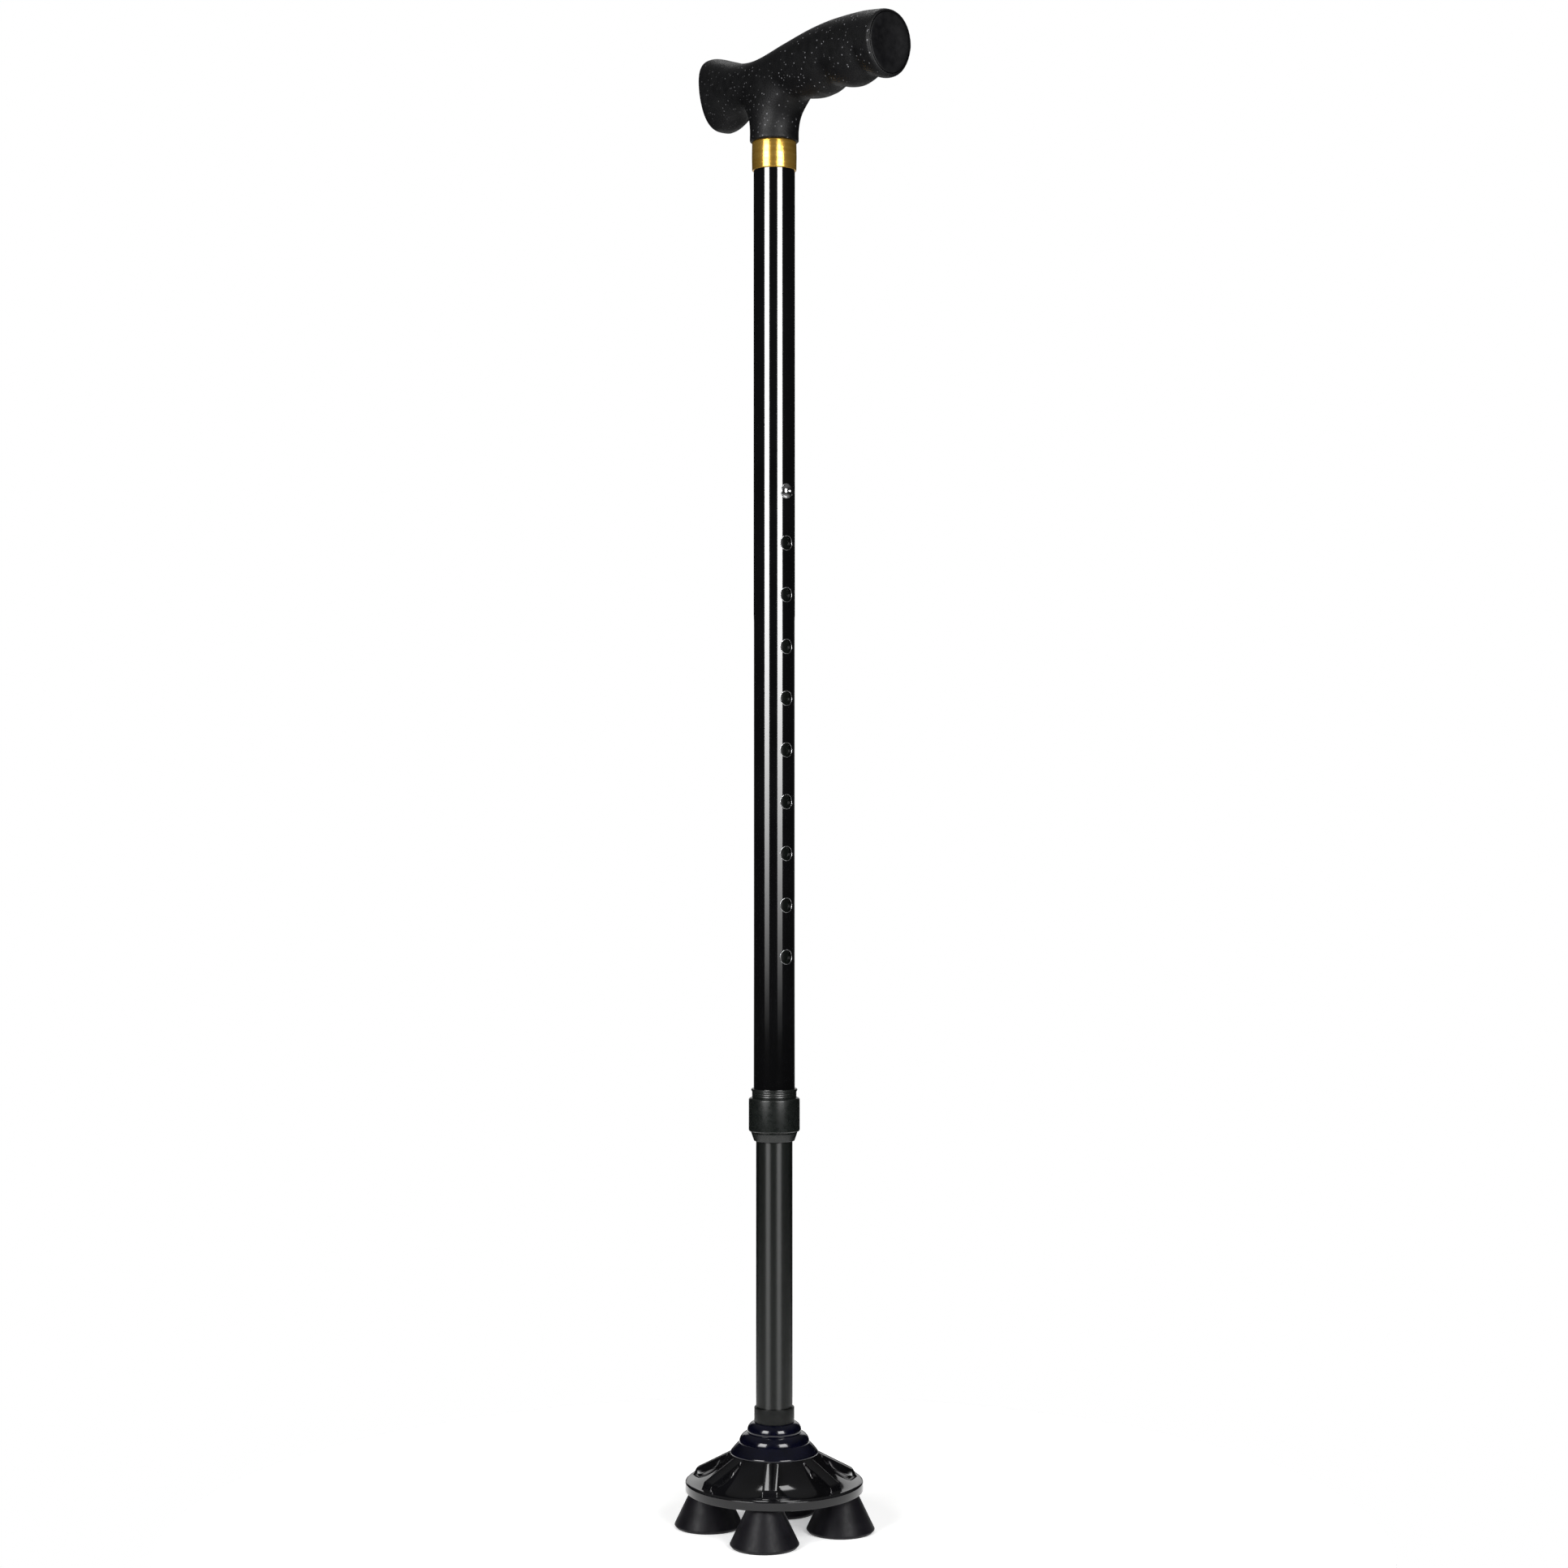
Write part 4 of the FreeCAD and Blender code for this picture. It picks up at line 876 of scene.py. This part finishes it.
def makeBaseShell(v):
    # A rim, a hollow flare with ribs on it and a hub, all in one skin of columns round the axis.
    offsets = [-e for e in reversed(v["ribColumns"])] + [0.0] + v["ribColumns"]
    columns = []
    for rib in range(v["ribs"]):
        columns += [(rib, "near", aside) for aside in offsets]
        columns += [(rib, "field", k / (v["fieldColumns"] + 1)) for k in range(1, v["fieldColumns"] + 1)]

    rim = roundCorners([(v["rimInner"], v["rimBottom"]), (v["rimRadius"], v["rimBottom"], v["rimFootRound"]),
                        (v["rimRadius"], v["rimTop"], v["rimRound"]),
                        (v["shoulder"], v["flareFoot"] - v["shoulderDrop"])])[:-1]
    flare = [Vector((v["shoulder"], v["flareFoot"]))]
    flare += arcBetween(flare[0], (v["topRadius"], v["top"]), v["flareCurve"], v["rows"], bulge=-1)
    under = [Vector((v["hubBore"], v["top"])), Vector((v["hubBore"], v["hubBottom"])),
             Vector((v["hubRadius"], v["hubBottom"])), Vector((v["hubRadius"], v["ceilingTop"])),
             Vector((v["ceilingTopRadius"], v["ceilingTop"]))]
    under += arcBetween((v["ceilingTopRadius"], v["ceilingTop"]), (v["rimInner"], v["ceilingFoot"]),
                        v["ceilingCurve"], v["ceilingSteps"])
    outline = [(p, False) for p in rim] + [(p, True) for p in flare] + [(p, False) for p in under]

    sector = 2 * math.pi / v["ribs"]
    reach = offsets[-1]
    points = []
    for rib, kind, value in columns:
        for (radius, height), ribbed in outline:
            turn = math.radians(v["ribTurn"]) + sector * rib
            edge = math.asin(reach / radius)
            if kind == "near":
                angle, aside = turn + math.asin(value / radius), value
            else:
                angle = turn + edge + (sector - 2 * edge) * value
                aside = reach
            if ribbed:
                height = blendedTop(height, ribHeight(v, radius, aside), v["ribFillet"])
            points.append((radius * math.cos(angle), radius * math.sin(angle), height))
    count = len(outline)
    faces = []
    for c in range(len(columns)):
        here, there = c * count, (c + 1) % len(columns) * count
        faces += [(here + i, there + i, there + (i + 1) % count, here + (i + 1) % count)
                  for i in range(count)]
    return closedMesh("mouldedBase", points, faces, sharp=50)


settle(makeBaseShell(baseValues), "base", "base_gloss", finish["base_gloss"], "base_shell")
print("stage: base shell")


# Feet

footValues = {"sole": 15.7, "radius": 16.9, "lip": 1.4, "topRadius": 7.8, "top": 20.0, "pocket": 5.6,
              "pocketTop": 10.0, "hole": 2.1, "circle": 32.9, "recess": 1.3, "recessInner": 7.4,
              "recessOuter": 14.0, "pocketRound": 0.4, "recessRound": 0.3, "soleRound": 0.5,
              "beadDepth": 0.55, "beadRise": 1.15, "beadRound": 0.6, "topBevel": 0.35, "topDrop": 0.5,
              "topRound": 0.4, "treadLift": 0.02, "sides": 112}
treadValues = {"Bar count": 22, "Ring radius": 10.7 * mm, "Bar length": 6.9 * mm, "Bar width": 1.25 * mm,
               "Bar height": 1.5 * mm}
feet = {"front_left_foot": 45.0, "rear_left_foot": 135.0, "rear_right_foot": 225.0,
        "front_right_foot": 315.0}


def treadTree():
    # Radial bars round a foot's centre, added to the foot.
    tree = newTree("soleTread", [
        ("Bar count", "Int"), ("Ring radius", "Float"), ("Bar length", "Float"), ("Bar width", "Float"),
        ("Bar height", "Float"), ("Centre", "Vector")])
    given = addNode(tree, "NodeGroupInput").outputs
    row = addNode(tree, "GeometryNodePoints", {"Count": given["Bar count"]})
    index = addNode(tree, "GeometryNodeInputIndex")
    share = addNode(tree, "ShaderNodeMath", {0: index.outputs[0], 1: given["Bar count"]}, operation="DIVIDE")
    turn = addNode(tree, "ShaderNodeMath", {0: share.outputs[0], 1: 2 * math.pi},
                   operation="MULTIPLY").outputs[0]
    along = addNode(tree, "ShaderNodeCombineXYZ", {"X": given["Ring radius"]})
    spin = addNode(tree, "ShaderNodeVectorRotate", {"Vector": along.outputs[0], "Angle": turn},
                   rotation_type="Z_AXIS")
    there = addNode(tree, "ShaderNodeVectorMath", {0: spin.outputs[0], 1: given["Centre"]})
    put = addNode(tree, "GeometryNodeSetPosition", {"Geometry": row.outputs[0], "Position": there.outputs[0]})
    size = addNode(tree, "ShaderNodeCombineXYZ", {
        "X": given["Bar length"], "Y": given["Bar width"], "Z": given["Bar height"]})
    bar = addNode(tree, "GeometryNodeMeshCube", {"Size": size.outputs[0]})
    facing = addNode(tree, "ShaderNodeCombineXYZ", {"Z": turn})
    place = addNode(tree, "GeometryNodeInstanceOnPoints", {
        "Points": put.outputs[0], "Instance": bar.outputs["Mesh"], "Rotation": facing.outputs[0]})
    join = addNode(tree, "GeometryNodeJoinGeometry", {0: given["Geometry"]})
    tree.links.new(place.outputs[0], join.inputs[0])
    real = addNode(tree, "GeometryNodeRealizeInstances", {0: join.outputs[0]})
    coat = addNode(tree, "GeometryNodeSetMaterial", {0: real.outputs[0], "Material": given["Finish"]})
    addNode(tree, "NodeGroupOutput", {0: coat.outputs[0]})
    return tree


def makeFoot(name, turn, tree, v):
    # A cone with a bead round its sole, a ring recess for the tread and a pocket for its screw.
    angle = math.radians(turn)
    centre = (v["circle"] * math.cos(angle), v["circle"] * math.sin(angle))
    outline = roundCorners([
        (v["pocket"], 0.0, v["pocketRound"]), (v["recessInner"], 0.0, v["recessRound"]),
        (v["recessInner"], v["recess"]), (v["recessOuter"], v["recess"]),
        (v["recessOuter"], 0.0, v["recessRound"]), (v["sole"], 0.0, v["soleRound"]),
        (v["radius"], v["lip"], v["soleRound"]),
        (v["radius"] - v["beadDepth"], v["lip"] + v["beadRise"], v["beadRound"]),
        (v["topRadius"] + v["topBevel"], v["top"] - v["topDrop"], v["topRound"]),
        (v["topRadius"], v["top"]), (v["hole"], v["top"]), (v["hole"], v["pocketTop"]),
        (v["pocket"], v["pocketTop"]),
    ])
    foot = turnedPiece(name + "Rubber", outline, sides=v["sides"], centre=centre)
    middle = treadValues["Bar height"] / 2 + v["treadLift"] * mm
    inputs = {**treadValues, "Finish": finish["foot_rubber"],
              "Centre": (centre[0] * mm, centre[1] * mm, middle)}
    return evaluated(setInputs(foot, tree, inputs))


tread = treadTree()
for footName, footTurn in feet.items():
    foot = makeFoot(footName, footTurn, tread, footValues)
    settle(foot, "base", "foot_rubber", finish["foot_rubber"], footName)
print("stage: feet")
